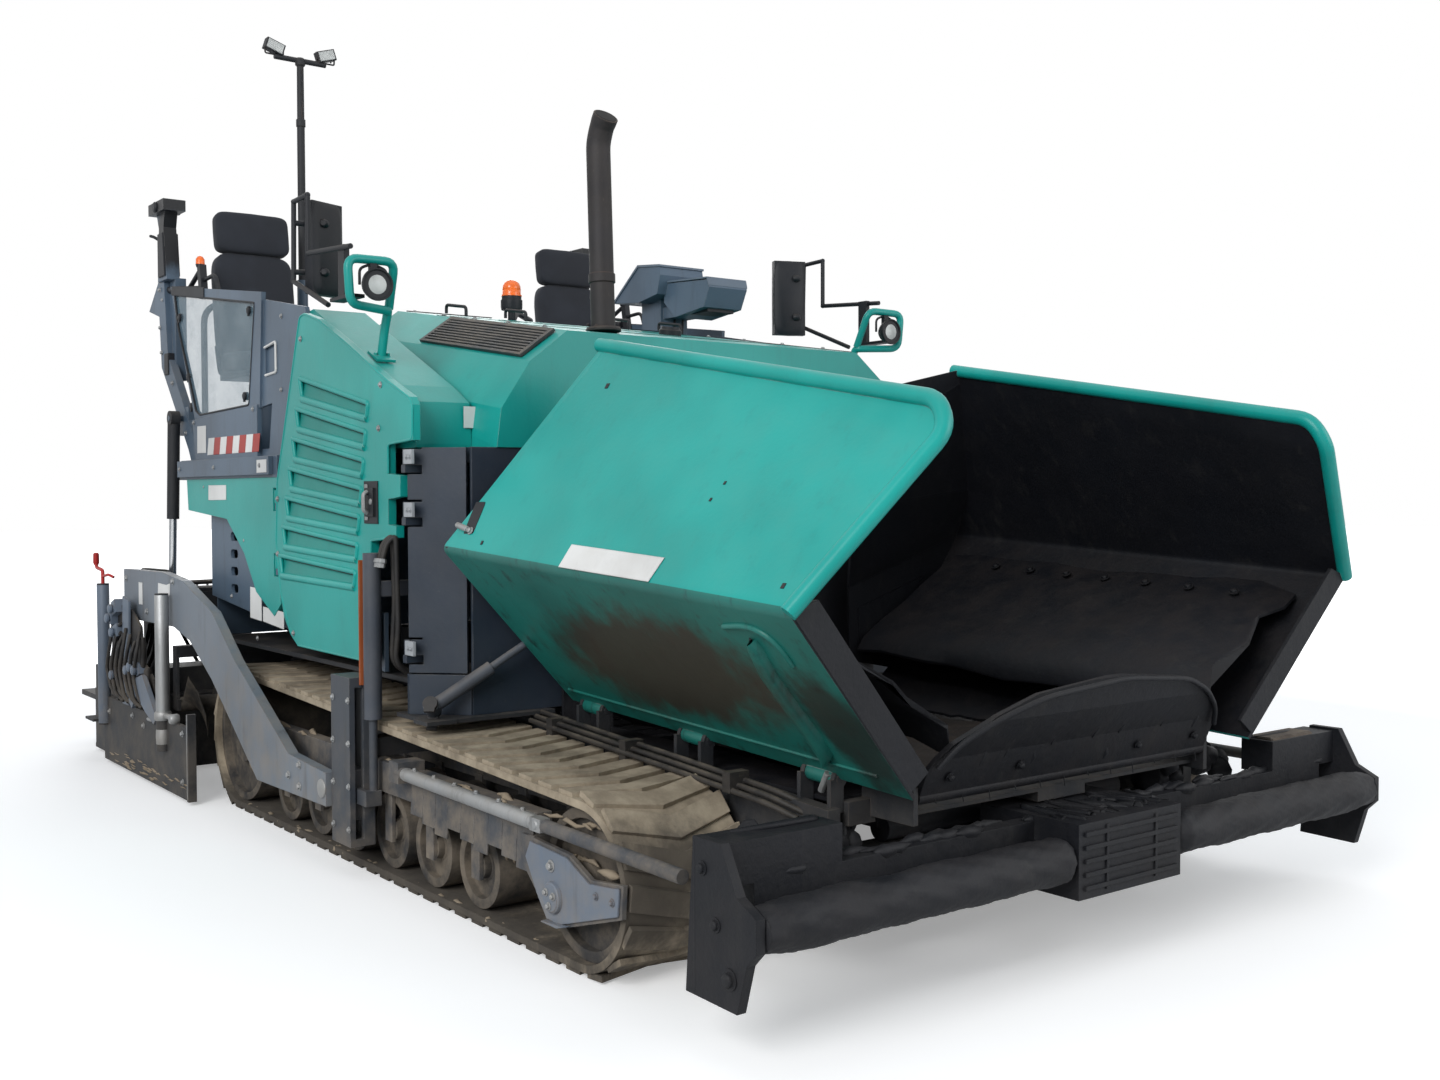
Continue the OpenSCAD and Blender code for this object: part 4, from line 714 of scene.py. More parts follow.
def top_fittings():
    g = Piece("handle_loops", "teal")
    lamp = Piece("lamp_housings", "black")
    lens = Piece("lamp_lenses", "lens")
    for _ in both(g, lamp, lens):
        loop = [(0.575, 1.3, 2.262), (0.655, 1.495, 2.268), (0.662, 1.508, 2.445),
            (0.642, 1.3, 2.45), (0.563, 1.29, 2.272)]
        g.tube(flat(1.29, (0.4875, 2.08), (0.52, 2.19), (0.553, 2.262)) + loop, 0.018, 0.045, 14)
        g.prism([(0.44, 2.1), (0.535, 2.058), (0.54, 2.068), (0.445, 2.11)], 1.25, 1.33)
        for y in (1.262, 1.318):
            g.bolt((0.49, y, 2.088), (0.38, 0, 0.92), 0.008)
        lamp.turned((0.642, 1.4, 2.345), (0.708, 1.4, 2.345),
            [(0, 0.018), (0, 0.034), (0.18, 0.044), (0.3, 0.044), (0.3, 0.05), (0.45, 0.05), (0.45, 0.055),
            (0.8, 0.064), (1, 0.065), (1, 0.058), (0.9, 0.056)], 28)
        lamp.tube([(0.655, 1.34, 2.345), (0.655, 1.34, 2.41), (0.655, 1.4, 2.432), (0.655, 1.455, 2.41),
            (0.655, 1.455, 2.345)], 0.006, 0.02, 8)
        lamp.box((0.645, 1.385, 2.385), (0.668, 1.415, 2.432))
        lens.turned((0.69, 1.4, 2.345), (0.704, 1.4, 2.345), [(0, 0.055), (0.5, 0.055), (0.8, 0.04), (1, 0.01)], 28)
    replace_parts(g.done(0.001, "green_paint"), "lamp_guards")
    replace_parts(lamp.done(0.001, "black_plastic"), "work_lamps")
    lens.done(0, "window", 60)
    # mirror glass, rounded back and clamps
    m = Piece("mirror_backs", "black")
    pane = Piece("mirror_glass", "mirror")
    spin = Matrix.Rotation(math.radians(-22), 3, "Z")

    def place(x, y, z):
        return V((-0.02, 1.325, 2.585)) + spin @ V((x, y, z))

    def outline(hy, hz, x):
        return [place(x, signed(math.cos(a), 0.35) * hy, signed(math.sin(a), 0.35) * hz) for a in turns(32)]

    for _ in both(m, pane):
        m.loft([outline(0.089, 0.201, -0.021), outline(0.092, 0.204, 0.005), outline(0.088, 0.2, 0.026),
            outline(0.066, 0.176, 0.038)])
        pane.loft([outline(0.08, 0.19, -0.0225), outline(0.08, 0.19, -0.0215)])
        for z in (-0.105, 0.105):
            m.turned(place(0.034, 0.02, z), place(0.052, 0.05, z), [(0, 0.018), (0.8, 0.018), (1, 0.012)], 12)
    m.done(0, "black_plastic", 40)
    pane.done(0, "window")
    # beacons: dark foot and arm, amber dome
    b = Piece("beacon_feet", "black")
    dome = Piece("beacon_domes", "amber")
    x, y, z = -0.4553, -0.15, 2.455
    b.turned((x, y, z), (x, y, z + 0.072), [(0, 0.04), (0, 0.052), (0.2, 0.055), (0.7, 0.055),
        (0.75, 0.05), (1, 0.05)], 32)
    b.tube([(x, y, z - 0.355), (x, y, z - 0.02)], 0.016, 0, 14)
    b.tube([(x, y, z - 0.07), (x - 0.11, y + 0.09, z + 0.005), (x - 0.33, y + 0.3, z)], 0.015, 0.05, 14)
    b.turned((x, y, z - 0.075), (x, y, z + 0.005), [(0, 0.015), (0.1, 0.019), (0.9, 0.019), (1, 0.03)], 20)
    dome.turned((x, y, z + 0.07), (x, y, z + 0.154), [(0, 0.052), (0.08, 0.052), (0.1, 0.047), (0.35, 0.047),
        (0.37, 0.0455), (0.4, 0.047), (0.62, 0.045), (0.8, 0.038), (0.92, 0.026), (1, 0.008)], 32)
    b.turned((x, y, z + 0.13), (x, y, z + 0.152), [(0, 0.02), (1, 0.01)], 16)
    for _ in both(b, dome):
        b.box((-1.638, 1.312, 2.545), (-1.592, 1.347, 2.72), (-10, "Y"))
        b.turned((-1.65, 1.33, 2.712), (-1.65, 1.33, 2.728), [(0, 0.02), (1, 0.024)], 20)
        dome.turned((-1.65, 1.33, 2.727), (-1.65, 1.33, 2.771),
            [(0, 0.023), (0.6, 0.022), (0.9, 0.014), (1, 0.004)], 20)
    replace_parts(b.done(0.001, "black_plastic"), "beacons")
    dome.done(0, "amber", 50)
    # exhaust with a swept outlet
    e = Piece("exhaust_stack", "exhaust")
    path = rounded(flat(-0.5, (0.9395, 2.206), (0.906, 2.985), (0.935, 3.05), (0.966, 3.088)), 0.06, 8)
    taper = [1.0 + 0.06 * max(0, (k - len(path) + 6) / 6) for k in range(len(path))]
    e.tube(path, 0.051, seg=28, taper=taper)
    e.turned((0.94, -0.5, 2.1965), (0.939, -0.5, 2.214), [(0, 0.074), (0.5, 0.075), (1, 0.07)], 36)
    e.turned((0.932, -0.5, 2.4), (0.93, -0.5, 2.44), barrel(0.052, 0.056, 0.05), 28)
    for a in turns(6):
        e.bolt((0.94 + 0.064 * math.cos(a), -0.5 + 0.064 * math.sin(a),
            2.214 - 0.064 * math.cos(a) * 0.15), (0.15, 0, 1), 0.007)
    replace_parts(e.done(0.001, "exhaust"), "exhaust_pipe")
    # black disc over the capped outlet: soot, and painted shade of the pipe's open bore
    h = Piece("exhaust_mouth", "soot")
    d = (path[-1] - path[-2]).normalized()
    h.turned(path[-1] + d * 0.0005, path[-1] + d * 0.002, [(0, 0.047), (1, 0.045)], 28)
    h.done(0, "exhaust")
    # mast lamps
    mast_x, mast_y, head = -1.97, -0.65, 3.84
    m = Piece("mast_lamps", "dark", "lamp_mast")
    lens = Piece("mast_lenses", "lens", "lamp_mast")
    m.turned((mast_x, mast_y, 2.601), (mast_x, mast_y, 3.962),
        [(0, 0.022), (0.74, 0.0215), (0.74, 0.026), (0.77, 0.026), (0.77, 0.02), (1, 0.019)], 16)
    m.tube([(mast_x, -0.8, head + 0.14), (mast_x, -0.5, head + 0.14)], 0.015, 0, 12)
    m.turned((mast_x, mast_y, head + 0.105), (mast_x, mast_y, head + 0.155),
        [(0, 0.018), (0.2, 0.028), (0.8, 0.028), (1, 0.02)], 16)
    for y in (-0.8, -0.5):
        lean = (18 if y > mast_y else -18, "X")
        m.box((-1.998, y - 0.054, head + 0.16), (-1.948, y + 0.054, head + 0.222), lean)
        for k in range(4):
            m.box((-1.999, y - 0.04 + 0.024 * k, head + 0.165), (-1.993, y - 0.032 + 0.024 * k, head + 0.218), lean)
        lens.box((-1.9495, y - 0.046, head + 0.166), (-1.944, y + 0.046, head + 0.216), lean)
        m.tube([(mast_x, y - 0.052, head + 0.19), (mast_x, y - 0.052, head + 0.15), (mast_x, y + 0.052, head + 0.15),
            (mast_x, y + 0.052, head + 0.19)], 0.005, 0.01, 8)
    cable = [(-1.948, -0.65, 3.64 + 0.03 * k) for k in range(11)]
    m.tube([V(q) + V((0.002 * math.sin(3 * i), 0.003 * math.cos(2 * i), 0)) for i, q in enumerate(cable)], 0.004, 0, 6)
    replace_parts(m.done(0.0012, "dark_paint"), "lamp_mast")
    lens.done(0.001, "window")


top_fittings()


# ---------------------------------------------------------------- operator's place

def operator_place():
    col = Piece("post_covers", "black")
    bolts = Piece("post_bolts", "zinc")
    rail = Piece("platform_rails", "black")
    clip = Piece("glass_clips", "black")
    rim = Piece("recess_frames", "plate")
    bar = Piece("window_seals", "black")
    for _ in both(col, bolts, rail, clip, rim, bar):
        # head clamp: neck, tee bar end caps, lever
        col.prism([(-2.225, 2.72), (-2.105, 2.72), (-2.135, 2.96), (-2.225, 2.96)], 1.292, 1.378)
        col.turned((-2.185, 1.262, 3.1), (-2.185, 1.409, 3.1), barrel(0.024, 0.03, 0.05), 20)
        col.tube([(-2.21, 1.335, 2.905), (-2.29, 1.375, 2.955), (-2.33, 1.385, 2.965)], 0.009, 0.02, 8)
        col.box((-2.185, 1.31, 2.18), (-2.115, 1.362, 2.3))
        bolts.bolts(1.3557, 0.009, 0.008, (-2.255, 2.66), (-2.262, 2.45), (-2.24, 2.31), (-2.055, 2.13), (-1.835, 1.85),
            (-1.7, 1.69), (-1.64, 1.69))
        bolts.bolts(1.355, 0.007, 0.006, (-2.28, 2.66), (-2.22, 2.6), (-2.2, 2.8))
        # grab bar from the post to the lamp
        rail.tube([(-2.2, 1.324, 2.655), (-1.66, 1.324, 2.598)], 0.02, 0, 14)
        rail.tube([(-1.86, 1.324, 2.62), (-1.665, 1.324, 2.7)], 0.013, 0, 10)
        rail.tube([(-1.625, 1.325, 2.64), (-1.44, 1.322, 2.65), (-1.4, 1.318, 2.56)], 0.011, 0.04, 10)
        for x, z in ((-0.832, 2.402), (-0.901, 1.996), (-1.746, 2.143), (-1.7, 1.985), (-1.88, 2.47)):
            clip.turned((x, 1.352, z), (x, 1.376, z), [(0, 0.02), (0.85, 0.02), (1, 0.014)], 16)
            clip.box((x - 0.008, 1.366, z - 0.028), (x + 0.008, 1.374, z + 0.004))
        # glazing bead
        clip.tube(flat(1.37, (-1.622, 1.958), (-1.56, 1.934), (-0.832, 1.95), (-0.742, 2.428), (-1.955, 2.598),
            (-1.9, 2.42), (-1.622, 1.958)), 0.006, 0.02, 6)
        bar.prism([(-2.0, 2.6), (-1.46, 2.527), (-1.46, 2.582), (-1.99, 2.648)], 1.3562, 1.377)
        # recess with its open bright rim
        rim.tube(flat(1.363, (-0.64, 2.208), (-0.5, 2.226), (-0.496, 2.085), (-0.632, 2.078)), 0.0065, 0.015, 8)
        bolts.bolts(1.36, 0.008, 0.006, (-0.43, 2.335), (-0.44, 2.0))
        # rear ladder rail
        rail.tube([(-2.0, 1.2, 1.66), (-2.0, 1.2, 2.55), (-2.0, 0.95, 2.62), (-2.0, 0.9, 1.66)], 0.017, 0.09, 12)
    bar.done(0.003, "black_plastic")
    # rear barrier and front dash rail
    rail.tube([(-2.0, -0.9, 2.3), (-2.0, -0.76, 2.3), (-2.048, -0.7, 2.3), (-2.048, -0.6, 2.3), (-2.0, -0.54, 2.3),
        (-2.0, 0.9, 2.3)], 0.015, 0.02, 12)
    rail.tube([(-0.425, -1.06, 2.215), (-0.425, 1.06, 2.215)], 0.014, 0, 12)
    col.done(0.003, "dark_paint")
    bolts.done(0.0006, "zinc")
    rail.done(0.0005, "dark_paint")
    clip.done(0.0005, "black_plastic")
    rim.done(0.0005, "zinc")
    # console details
    c = Piece("console_controls", "black")
    light = Piece("console_hoods", "pale_grey")
    light.prism([(-0.805, 2.596), (-0.56, 2.776), (-0.352, 2.756), (-0.352, 2.744), (-0.556, 2.762),
        (-0.796, 2.588)], 0.694, 0.996)
    light.prism([(-0.405, 2.664), (-0.008, 2.645), (0.006, 2.606), (0.006, 2.62), (-0.004, 2.654),
        (-0.404, 2.674)], 0.754, 1.016)
    light.prism([(-0.902, 1.668), (-0.818, 2.156), (-0.52, 2.246), (-0.5, 2.226), (-0.512, 2.236), (-0.812, 2.146),
        (-0.892, 1.668)], -0.425, 0.145)
    for k in range(6):
        c.turned((-0.7 + 0.001 * k, 0.735 + 0.042 * k, 2.664), (-0.718, 0.735 + 0.042 * k, 2.686),
            [(0, 0.01), (0.6, 0.01), (1, 0.006)], 12)
    for k in range(5):
        for j in range(3):
            c.box((-0.8 + 0.075 * j, -0.36 + 0.09 * k, 2.158 + 0.0225 * j),
                (-0.77 + 0.075 * j, -0.33 + 0.09 * k, 2.172 + 0.0225 * j), (-17, "Y"))
    c.tube(flat(-0.08, (-0.66, 2.19), (-0.67, 2.3), (-0.665, 2.33)), 0.009, 0, 10)
    c.turned((-0.665, -0.08, 2.315), (-0.668, -0.08, 2.375), [(0, 0.01), (0.3, 0.024), (0.8, 0.026), (1, 0.012)], 18)
    c.box((-0.3, 0.8, 2.48), (-0.06, 0.975, 2.5))
    c.box((-0.395, 0.79, 2.56), (-0.388, 0.98, 2.64))
    c.turned((-0.55, 0.87, 1.665), (-0.55, 0.87, 1.72), [(0, 0.12), (0.3, 0.115), (1, 0.09)], 24)
    for k in range(3):
        c.tube([(-0.47 + 0.02 * k, 0.83 + 0.04 * k, 2.49), (-0.46, 0.8 + 0.05 * k, 2.3 - 0.1 * k),
            (-0.52, 0.83 + 0.02 * k, 1.7)], 0.007, 0.1, 8)
    c.done(0.001, "black_plastic")
    light.done(0.001, "grey_paint")
    strips = Piece("platform_mats", "black")
    for i in range(6):
        for y0, y1 in ((-0.76, -0.45), (0.16, 0.76)):
            strips.box((-1.79 + i * 0.2, y0, 1.6605), (-1.72 + i * 0.2, y1, 1.668))
    strips.done(0.002, "black_plastic")


operator_place()


# ---------------------------------------------------------------- bodywork, doors, plates and stripes

def bodywork():
    white = Piece("blank_plates", "plate")
    stripes = Piece("stripe_bands", "plate")
    dark = Piece("body_seams", "black")
    zinc = Piece("body_bolts", "zinc")
    for _ in both(white, stripes, dark, zinc):
        # striped band: white and red slanting fields, blank plate above
        for k in range(8):
            x = -1.412 + 0.092 * k
            stripes.prism([(x, 1.722), (x + 0.09, 1.7225), (x + 0.112, 1.808), (x + 0.022, 1.808)],
                1.3822, 1.3836, slot=k % 2)
        white.plates(1.3822, [(-1.57, 1.735), (-1.432, 1.734), (-1.428, 1.874), (-1.565, 1.875)])
        white.plates(1.4222, [(-0.598, 1.62), (-0.472, 1.622), (-0.47, 1.682), (-0.596, 1.681)])
        white.plates(1.3952, [(-1.365, 1.492), (-1.1, 1.494), (-1.098, 1.568), (-1.36, 1.568)])
        white.plates(1.3902, [(-0.794, 0.932), (-0.642, 0.924), (-0.64, 1.076), (-0.79, 1.08)],
                     [(-0.625, 0.925), (-0.36, 0.905), (-0.358, 0.985), (-0.622, 0.995)])
        # plate on the body's front corner
        white.prism([(0.955, 1.78), (1.135, 1.78), (1.135, 1.866), (0.955, 1.868)], 0.9052, 0.9068, "x")
        # bolts of the panels
        zinc.bolts(1.382, 0.008, 0.006, (-1.56, 1.69), (-0.72, 1.69), (-1.62, 1.895), (-0.75, 1.925))
        zinc.bolts(1.4222, 0.008, 0.005, (-1.74, 1.655), (-1.2, 1.655), (-0.56, 1.655))
        zinc.bolts(1.39, 0.008, 0.005, (-1.44, 1.56), (-1.05, 1.02), (-0.86, 1.3), (-1.44, 0.84), (-0.7, 0.84))
        # seams and bolts of the hood, and lifting loops on its top
        dark.tube([(-0.4, 1.0995, 1.8), (0.86, 1.0985, 1.76)], 0.003, 0, 6)
        dark.box((-0.392, 0.3, 2.397), (-0.386, 0.76, 2.4015))
        for k in range(5):
            zinc.bolt((-0.3 + 0.3 * k, 0.76, 2.3845 - 0.0451 * k), (0.149, 0, 0.989), 0.008, 0.006)
        for y in (0.3, 0.62):
            dark.tube(flat(y, (-0.25, 2.385), (-0.25, 2.425), (-0.05, 2.395), (-0.05, 2.35)), 0.008, 0.02, 8)
    # hood seams across the top and the fuel cap
    for x in (-0.02, 0.62):
        z = 2.4 - (x + 0.42) * 0.1503
        dark.box((x - 0.003, -0.785, z - 0.002), (x + 0.003, 0.785, z + 0.0022), (8.55, "Y"))
    dark.turned((0.3, 0.3, 2.29), (0.306, 0.3, 2.332), [(0, 0.055), (0.6, 0.055), (0.7, 0.048), (1, 0.044)], 28)
    white.done(0.0006, "green_paint")
    stripes.done(0, "grey_paint", looks=["plate", "stripe_red"])
    dark.done(0.0006, "black_plastic")
    zinc.done(0.0005, "zinc")


bodywork()


def flap_and_door(name, side):
    f = Piece("flap_fittings_" + name, "black", "side_flap_" + name, side)
    z = Piece("flap_bolts_" + name, "zinc", "side_flap_" + name, side)
    f.prism([(0.56, 1.402), (0.69, 1.402), (0.69, 1.572), (0.56, 1.572)], 1.3985, 1.4045)
    f.box((0.585, 1.404, 1.43), (0.665, 1.413, 1.545))
    z.tube([(0.612, 1.411, 1.445), (0.612, 1.428, 1.455), (0.612, 1.428, 1.52), (0.612, 1.411, 1.53)], 0.01, 0.01, 8)
    z.prism([(0.572, 1.415), (0.6, 1.415), (0.6, 1.56), (0.572, 1.56)], 1.4045, 1.4075)
    z.turned((0.645, 1.41, 1.49), (0.645, 1.418, 1.49), [(0, 0.013), (0.8, 0.012), (1, 0.008)], 16)
    z.bolts(1.4, 0.009, 0.006, (-0.395, 1.5), (-0.4, 1.25), (-0.1, 2.2), (0.55, 0.88), (-0.22, 0.9),
        (0.72, 1.95), (0.7, 1.78))
    # rolled lip along the flap's lower and front edges
    lip = Piece("flap_lips_" + name, "teal", "side_flap_" + name, side)
    # black strips at the back of each louvre's top: painted shadow under the louvre's upper rim
    shadow_band = Piece("louvre_painted_shadow_" + name, "black", "side_flap_" + name, side)
    # louvre fins: their slope is shape, their darker teal is painted shade of the recesses
    fins = Piece("louvre_fins_" + name, "teal_painted_shade", "side_flap_" + name, side)
    lip.tube(flat(FLAP_Y, (-0.17, 0.85), (0.605, 0.845), (0.615, 1.335), (0.845, 1.352)), 0.0055, 0.01, 8)
    lip.tube(flat(FLAP_Y, (0.78, 1.6), (0.78, 1.716), (0.995, 1.728), (0.997, 1.858), (0.972, 1.886), (0.77, 1.966),
        (0.4, 2.136), (0.09, 2.266), (-0.06, 2.306), (-0.112, 2.296), (-0.336, 1.74), (-0.402, 1.58), (-0.424, 1.3),
        (-0.372, 1.07), (-0.255, 0.896)), 0.0055, 0.02, 8)
    for i in range(7):
        r = (-0.12 - 0.045 * i + 0.004 * max(0, i - 3), 2.03 - 0.131 * i)
        e = (0.6 - 0.023 * i, 1.885 - 0.114 * i)
        ring = [r, e, (e[0] - 0.014, e[1] - 0.058), (r[0] + 0.026, r[1] - 0.088), r]
        lip.tube(flat(1.397, *ring), 0.0115, 0.016, 10)
        lip.tube([(x, 1.396, h - 0.006) for x, h in (ring[2], ring[3])], 0.0165, 0, 10)
        (ax, az), (bx, bz) = [(r[0] * (1 - u) + e[0] * u, r[1] * (1 - u) + e[1] * u) for u in (0.02, 0.98)]
        # per louvre: a black strip, painted shadow under the upper rim, and a sloping fin in a darker teal, painted
        # shade of the recess
        for piece, top, foot, y0, y1 in ((shadow_band, 0.003, 0.02, 1.3828, 1.383), (fins, 0.018, 0.06, 1.384, 1.3975)):
            edge = [V((ax + 0.006, y0, az - top)), V((bx - 0.003, y0, bz - top)), V((bx - 0.012, y1, bz - foot * 0.92)),
                    V((ax + 0.022, y1, az - foot * 1.38))]
            piece.loft([edge, [q + V((0, 0.0012, 0)) for q in edge]])
    f.done(0.0008, "black_plastic")
    z.done(0.0005, "zinc")
    lip.done(0, "green_paint", 60)
    shadow_band.done(0, "black_plastic")
    fins.done(0, "green_paint")
    d = Piece("door_fittings_" + name, "leaf", "front_door_" + name, side)
    for h in (0.9, 1.43, 1.632):
        d.box((0.925, 1.3925, h + 0.002), (1.0, 1.4045, h + 0.058))
        d.bolts(1.404, 0.007, 0.005, (0.958, h + 0.03), (0.985, h + 0.03))
    d.done(0.001, "grey_paint")


for name, side in SIDES:
    flap_and_door(name, side)


# ---------------------------------------------------------------- tow cylinders, tow arms, tracks

def tow_gear():
    o = Piece("tow_guards", "orange")
    h = Piece("tow_hoses", "hose")
    z = Piece("tow_fittings", "zinc")
    for _ in both(o, h, z):
        o.prism([(0.706, 0.77), (0.716, 0.77), (0.716, 1.262), (0.706, 1.262)], 1.478, 1.496)
        for k in range(2):
            x = 0.8 + 0.03 * k
            h.tube([(x, 1.45, 1.262), (x, 1.43, 1.33), (x + 0.02, 1.402, 1.36), (x + 0.02, 1.394, 1.1 - 0.1 * k),
                (x, 1.4, 0.86), (x - 0.02, 1.3, 0.8)], 0.011, 0.05, 10)
            z.turned((x, 1.455, 1.235), (x, 1.45, 1.27), [(0, 0.016), (0.5, 0.016), (0.55, 0.02), (1, 0.018)], 6)
        z.turned((0.76, 1.462, 1.225), (0.76, 1.462, 1.286),
            [(0, 0.034), (0.3, 0.034), (0.35, 0.03), (0.8, 0.03), (1, 0.02)], 24)
        z.turned((0.76, 1.462, 0.655), (0.76, 1.462, 0.7), [(0, 0.028), (0.15, 0.034), (0.85, 0.034), (1, 0.03)], 24)
        z.bolts(1.535, 0.009, 0.007, *((x, 0.2 + 0.17 * k) for x in (0.54, 0.69) for k in range(4)))
    o.done(0.001, "dark_paint")
    h.done(0, "black_plastic", 60)
    z.done(0.0006, "zinc")
    w = Piece("tow_arm_plates", "plate", "screed")
    b = Piece("tow_arm_bolts", "zinc", "screed")
    for _ in both(w, b):
        w.prism([(-1.7, 1.062), (-1.56, 1.058), (-1.5, 1.068), (-1.505, 1.01), (-1.56, 0.975),
            (-1.705, 0.98)], 1.5522, 1.5534)
        w.prism([(-2.05, 0.93), (-1.98, 0.93), (-1.98, 1.05), (-2.05, 1.05)], 1.5522, 1.5534)
        b.bolts(1.552, 0.012, 0.009, (-2.28, 1.06), (-2.28, 0.9), (-1.9, 0.9), (-1.45, 1.08), (0.1, 0.33),
            (0.22, 0.39), (0.22, 0.3))
        b.turned((0.46, 1.552, 0.33), (0.46, 1.56, 0.33), [(0, 0.04), (0.7, 0.038), (1, 0.03)], 24)
    w.done(0.0006, "grey_paint")
    b.done(0.0006, "zinc")


tow_gear()

# middle in X and Z, radius and hub radius of the drive wheel, the rollers and the idler
ROLLERS = (-0.32, 0.04, 0.4, 0.76, 1.12, 1.48)
WHEELS = [(-0.9, 0.345, 0.27, 0.11), *((x, 0.193, 0.12, 0.04) for x in ROLLERS), (2.21, 0.285, 0.205, 0.066)]


def track_gear():
    hub = Piece("wheel_hubs", "wheel")
    strut = Piece("strut_sleeves", "zinc")
    plate = Piece("idler_guards", "guard")
    mud = Piece("track_mud", "mud")
    chain = Piece("chassis_lines", "hose")
    splash = Piece("splash_plates", "frame")
    strut_y = 1.47
    idler_x, idler_z = 2.11, 0.232
    for _ in both(hub, strut, plate, mud, chain, splash):
        for x, z, r, inner in WHEELS:
            big = r > 0.2
            face = 1.337 if big else 1.366
            hub.turned((x, face - 0.04, z), (x, face + 0.02, z),
                [(0, inner * 1.5), (0.5, inner * 1.35), (0.6, inner * 0.95), (0.85, inner * 0.9),
                (1, inner * 0.55)], 24)
            rad = inner * (1.18 if big else 1.2)
            ring = [(x + rad * math.cos(a), z + rad * math.sin(a)) for a in turns(8 if big else 5, 0.3)]
            hub.bolts(face - 0.02, 0.009 if big else 0.006, 0.008, *ring)
            if big:
                for a in turns(9):
                    c, d = math.cos(a), math.sin(a)
                    hub.tube([(x + inner * 1.3 * c, face - 0.035, z + inner * 1.3 * d),
                        (x + r * 0.98 * c, face - 0.03, z + r * 0.98 * d)], 0.01, 0, 8)
        # bolted sleeve and clevis on the strut
        strut.turned((1.06, strut_y, 0.4693), (2.02, strut_y, 0.4588), barrel(0.0225, 0.0255, 0.01), 20)
        for k in range(6):
            strut.bolt((1.14 + 0.16 * k, strut_y, 0.4935 - 0.0017 * k), (0, 0, 1), 0.008, 0.007)
        strut.box((2.02, 1.452, 0.437), (2.085, 1.492, 0.481))
        strut.turned((2.055, 1.446, 0.459), (2.055, 1.496, 0.459), barrel(0.012, 0.015, 0.1), 12)
        # splash plate folded under the strut, in the track frames' paint
        for k in range(9):
            x = 1.05 + 0.1 * k
            splash.prism([(1.43, 0.452), (1.436, 0.448), (1.446, 0.315 - 0.02 * (k % 3)),
                (1.44, 0.313 - 0.02 * (k % 3))], x, x + 0.0985, "x")
        # lighter guard plate, bolts and stub hub over the idler
        plate.prism([(2.0, 0.225), (2.064, 0.152), (2.148, 0.152), (2.478, 0.252), (2.488, 0.34), (2.32, 0.32),
            (2.188, 0.374), (1.96, 0.386), (1.93, 0.33)], 1.4492, 1.456)
        plate.prism([(2.05, 0.143), (2.15, 0.143), (2.2, 0.158), (2.06, 0.15)], 1.4492, 1.472)
        plate.turned((idler_x, 1.455, idler_z), (idler_x, 1.472, idler_z), [(0, 0.052), (0.7, 0.05), (1, 0.044)], 28)
        ring = [(idler_x + 0.026 * math.cos(a), idler_z + 0.026 * math.sin(a)) for a in (0.4, 2.5, 4.6)]
        strut.bolts(1.472, 0.009, 0.009, *ring)
        strut.bolts(1.456, 0.014, 0.012, (2.095, 0.33))
        plate.bolts(1.456, 0.009, 0.007, (2.36, 0.29), (2.45, 0.29))
        # dried mud on frames and along the belt's lower run
        for k in range(46):
            x = rng.uniform(-0.45, 2.35)
            z = rng.choice((0.352, 0.47))
            y = rng.uniform(1.37, 1.42)
            n = rng.randint(3, 5)
            mud.lump([(x + 0.035 * i, y + rng.uniform(-0.008, 0.008), z + rng.uniform(-0.004, 0.008))
                for i in range(n)], rng.uniform(0.006, 0.016), 7)
        for k in range(40):
            x = rng.uniform(-0.9, 2.1)
            mud.lump([(x + 0.03 * i, rng.uniform(1.398, 1.418), 0.03 + rng.uniform(-0.004, 0.006)) for i in range(4)],
                rng.uniform(0.005, 0.012), 6)
        for k in range(16):
            x = rng.uniform(-0.95, -0.4) if k < 8 else rng.uniform(1.6, 1.95)
            z = rng.uniform(0.2, 0.45)
            mud.lump([(x, 1.36, z), (x + 0.02, 1.37, z - 0.03), (x + 0.01, 1.365, z - 0.06)], 0.012, 7)
        # hydraulic lines along the chassis under the wing
        for k in range(3):
            y, z = 0.936 + 0.026 * k, 0.646 - 0.014 * k
            chain.tube([(1.16, y, z + 0.02), (1.6, y + 0.01, z), (2.1, y, z - 0.03), (2.6, y, z - 0.06),
                (2.7, y - 0.05, z - 0.1)], 0.01, 0.08, 8)
        for x in (1.3, 1.8, 2.4):
            chain.box((x, 0.921, 0.56), (x + 0.04, 1.0, 0.672 - 0.035 * (x - 1.1)))
    hub.done(0.001, "wheel_steel")
    strut.done(0.0008, "zinc")
    plate.done(0.0015, "grey_paint")
    mud.done(0, "track_rubber", 80)
    chain.done(0, "black_plastic", 60)
    splash.done(0.001, "grey_paint")


track_gear()


# ---------------------------------------------------------------- hopper, apron, push beam and rollers

def wobble(x, y):
    """An uneven height between about -1 and 1."""
    broad = math.sin(7.1 * x + 1.3) * math.cos(6.3 * y) * 0.5
    return broad + math.sin(17 * x + 5 * y) * 0.3 + math.cos(29 * y - 11 * x) * 0.2


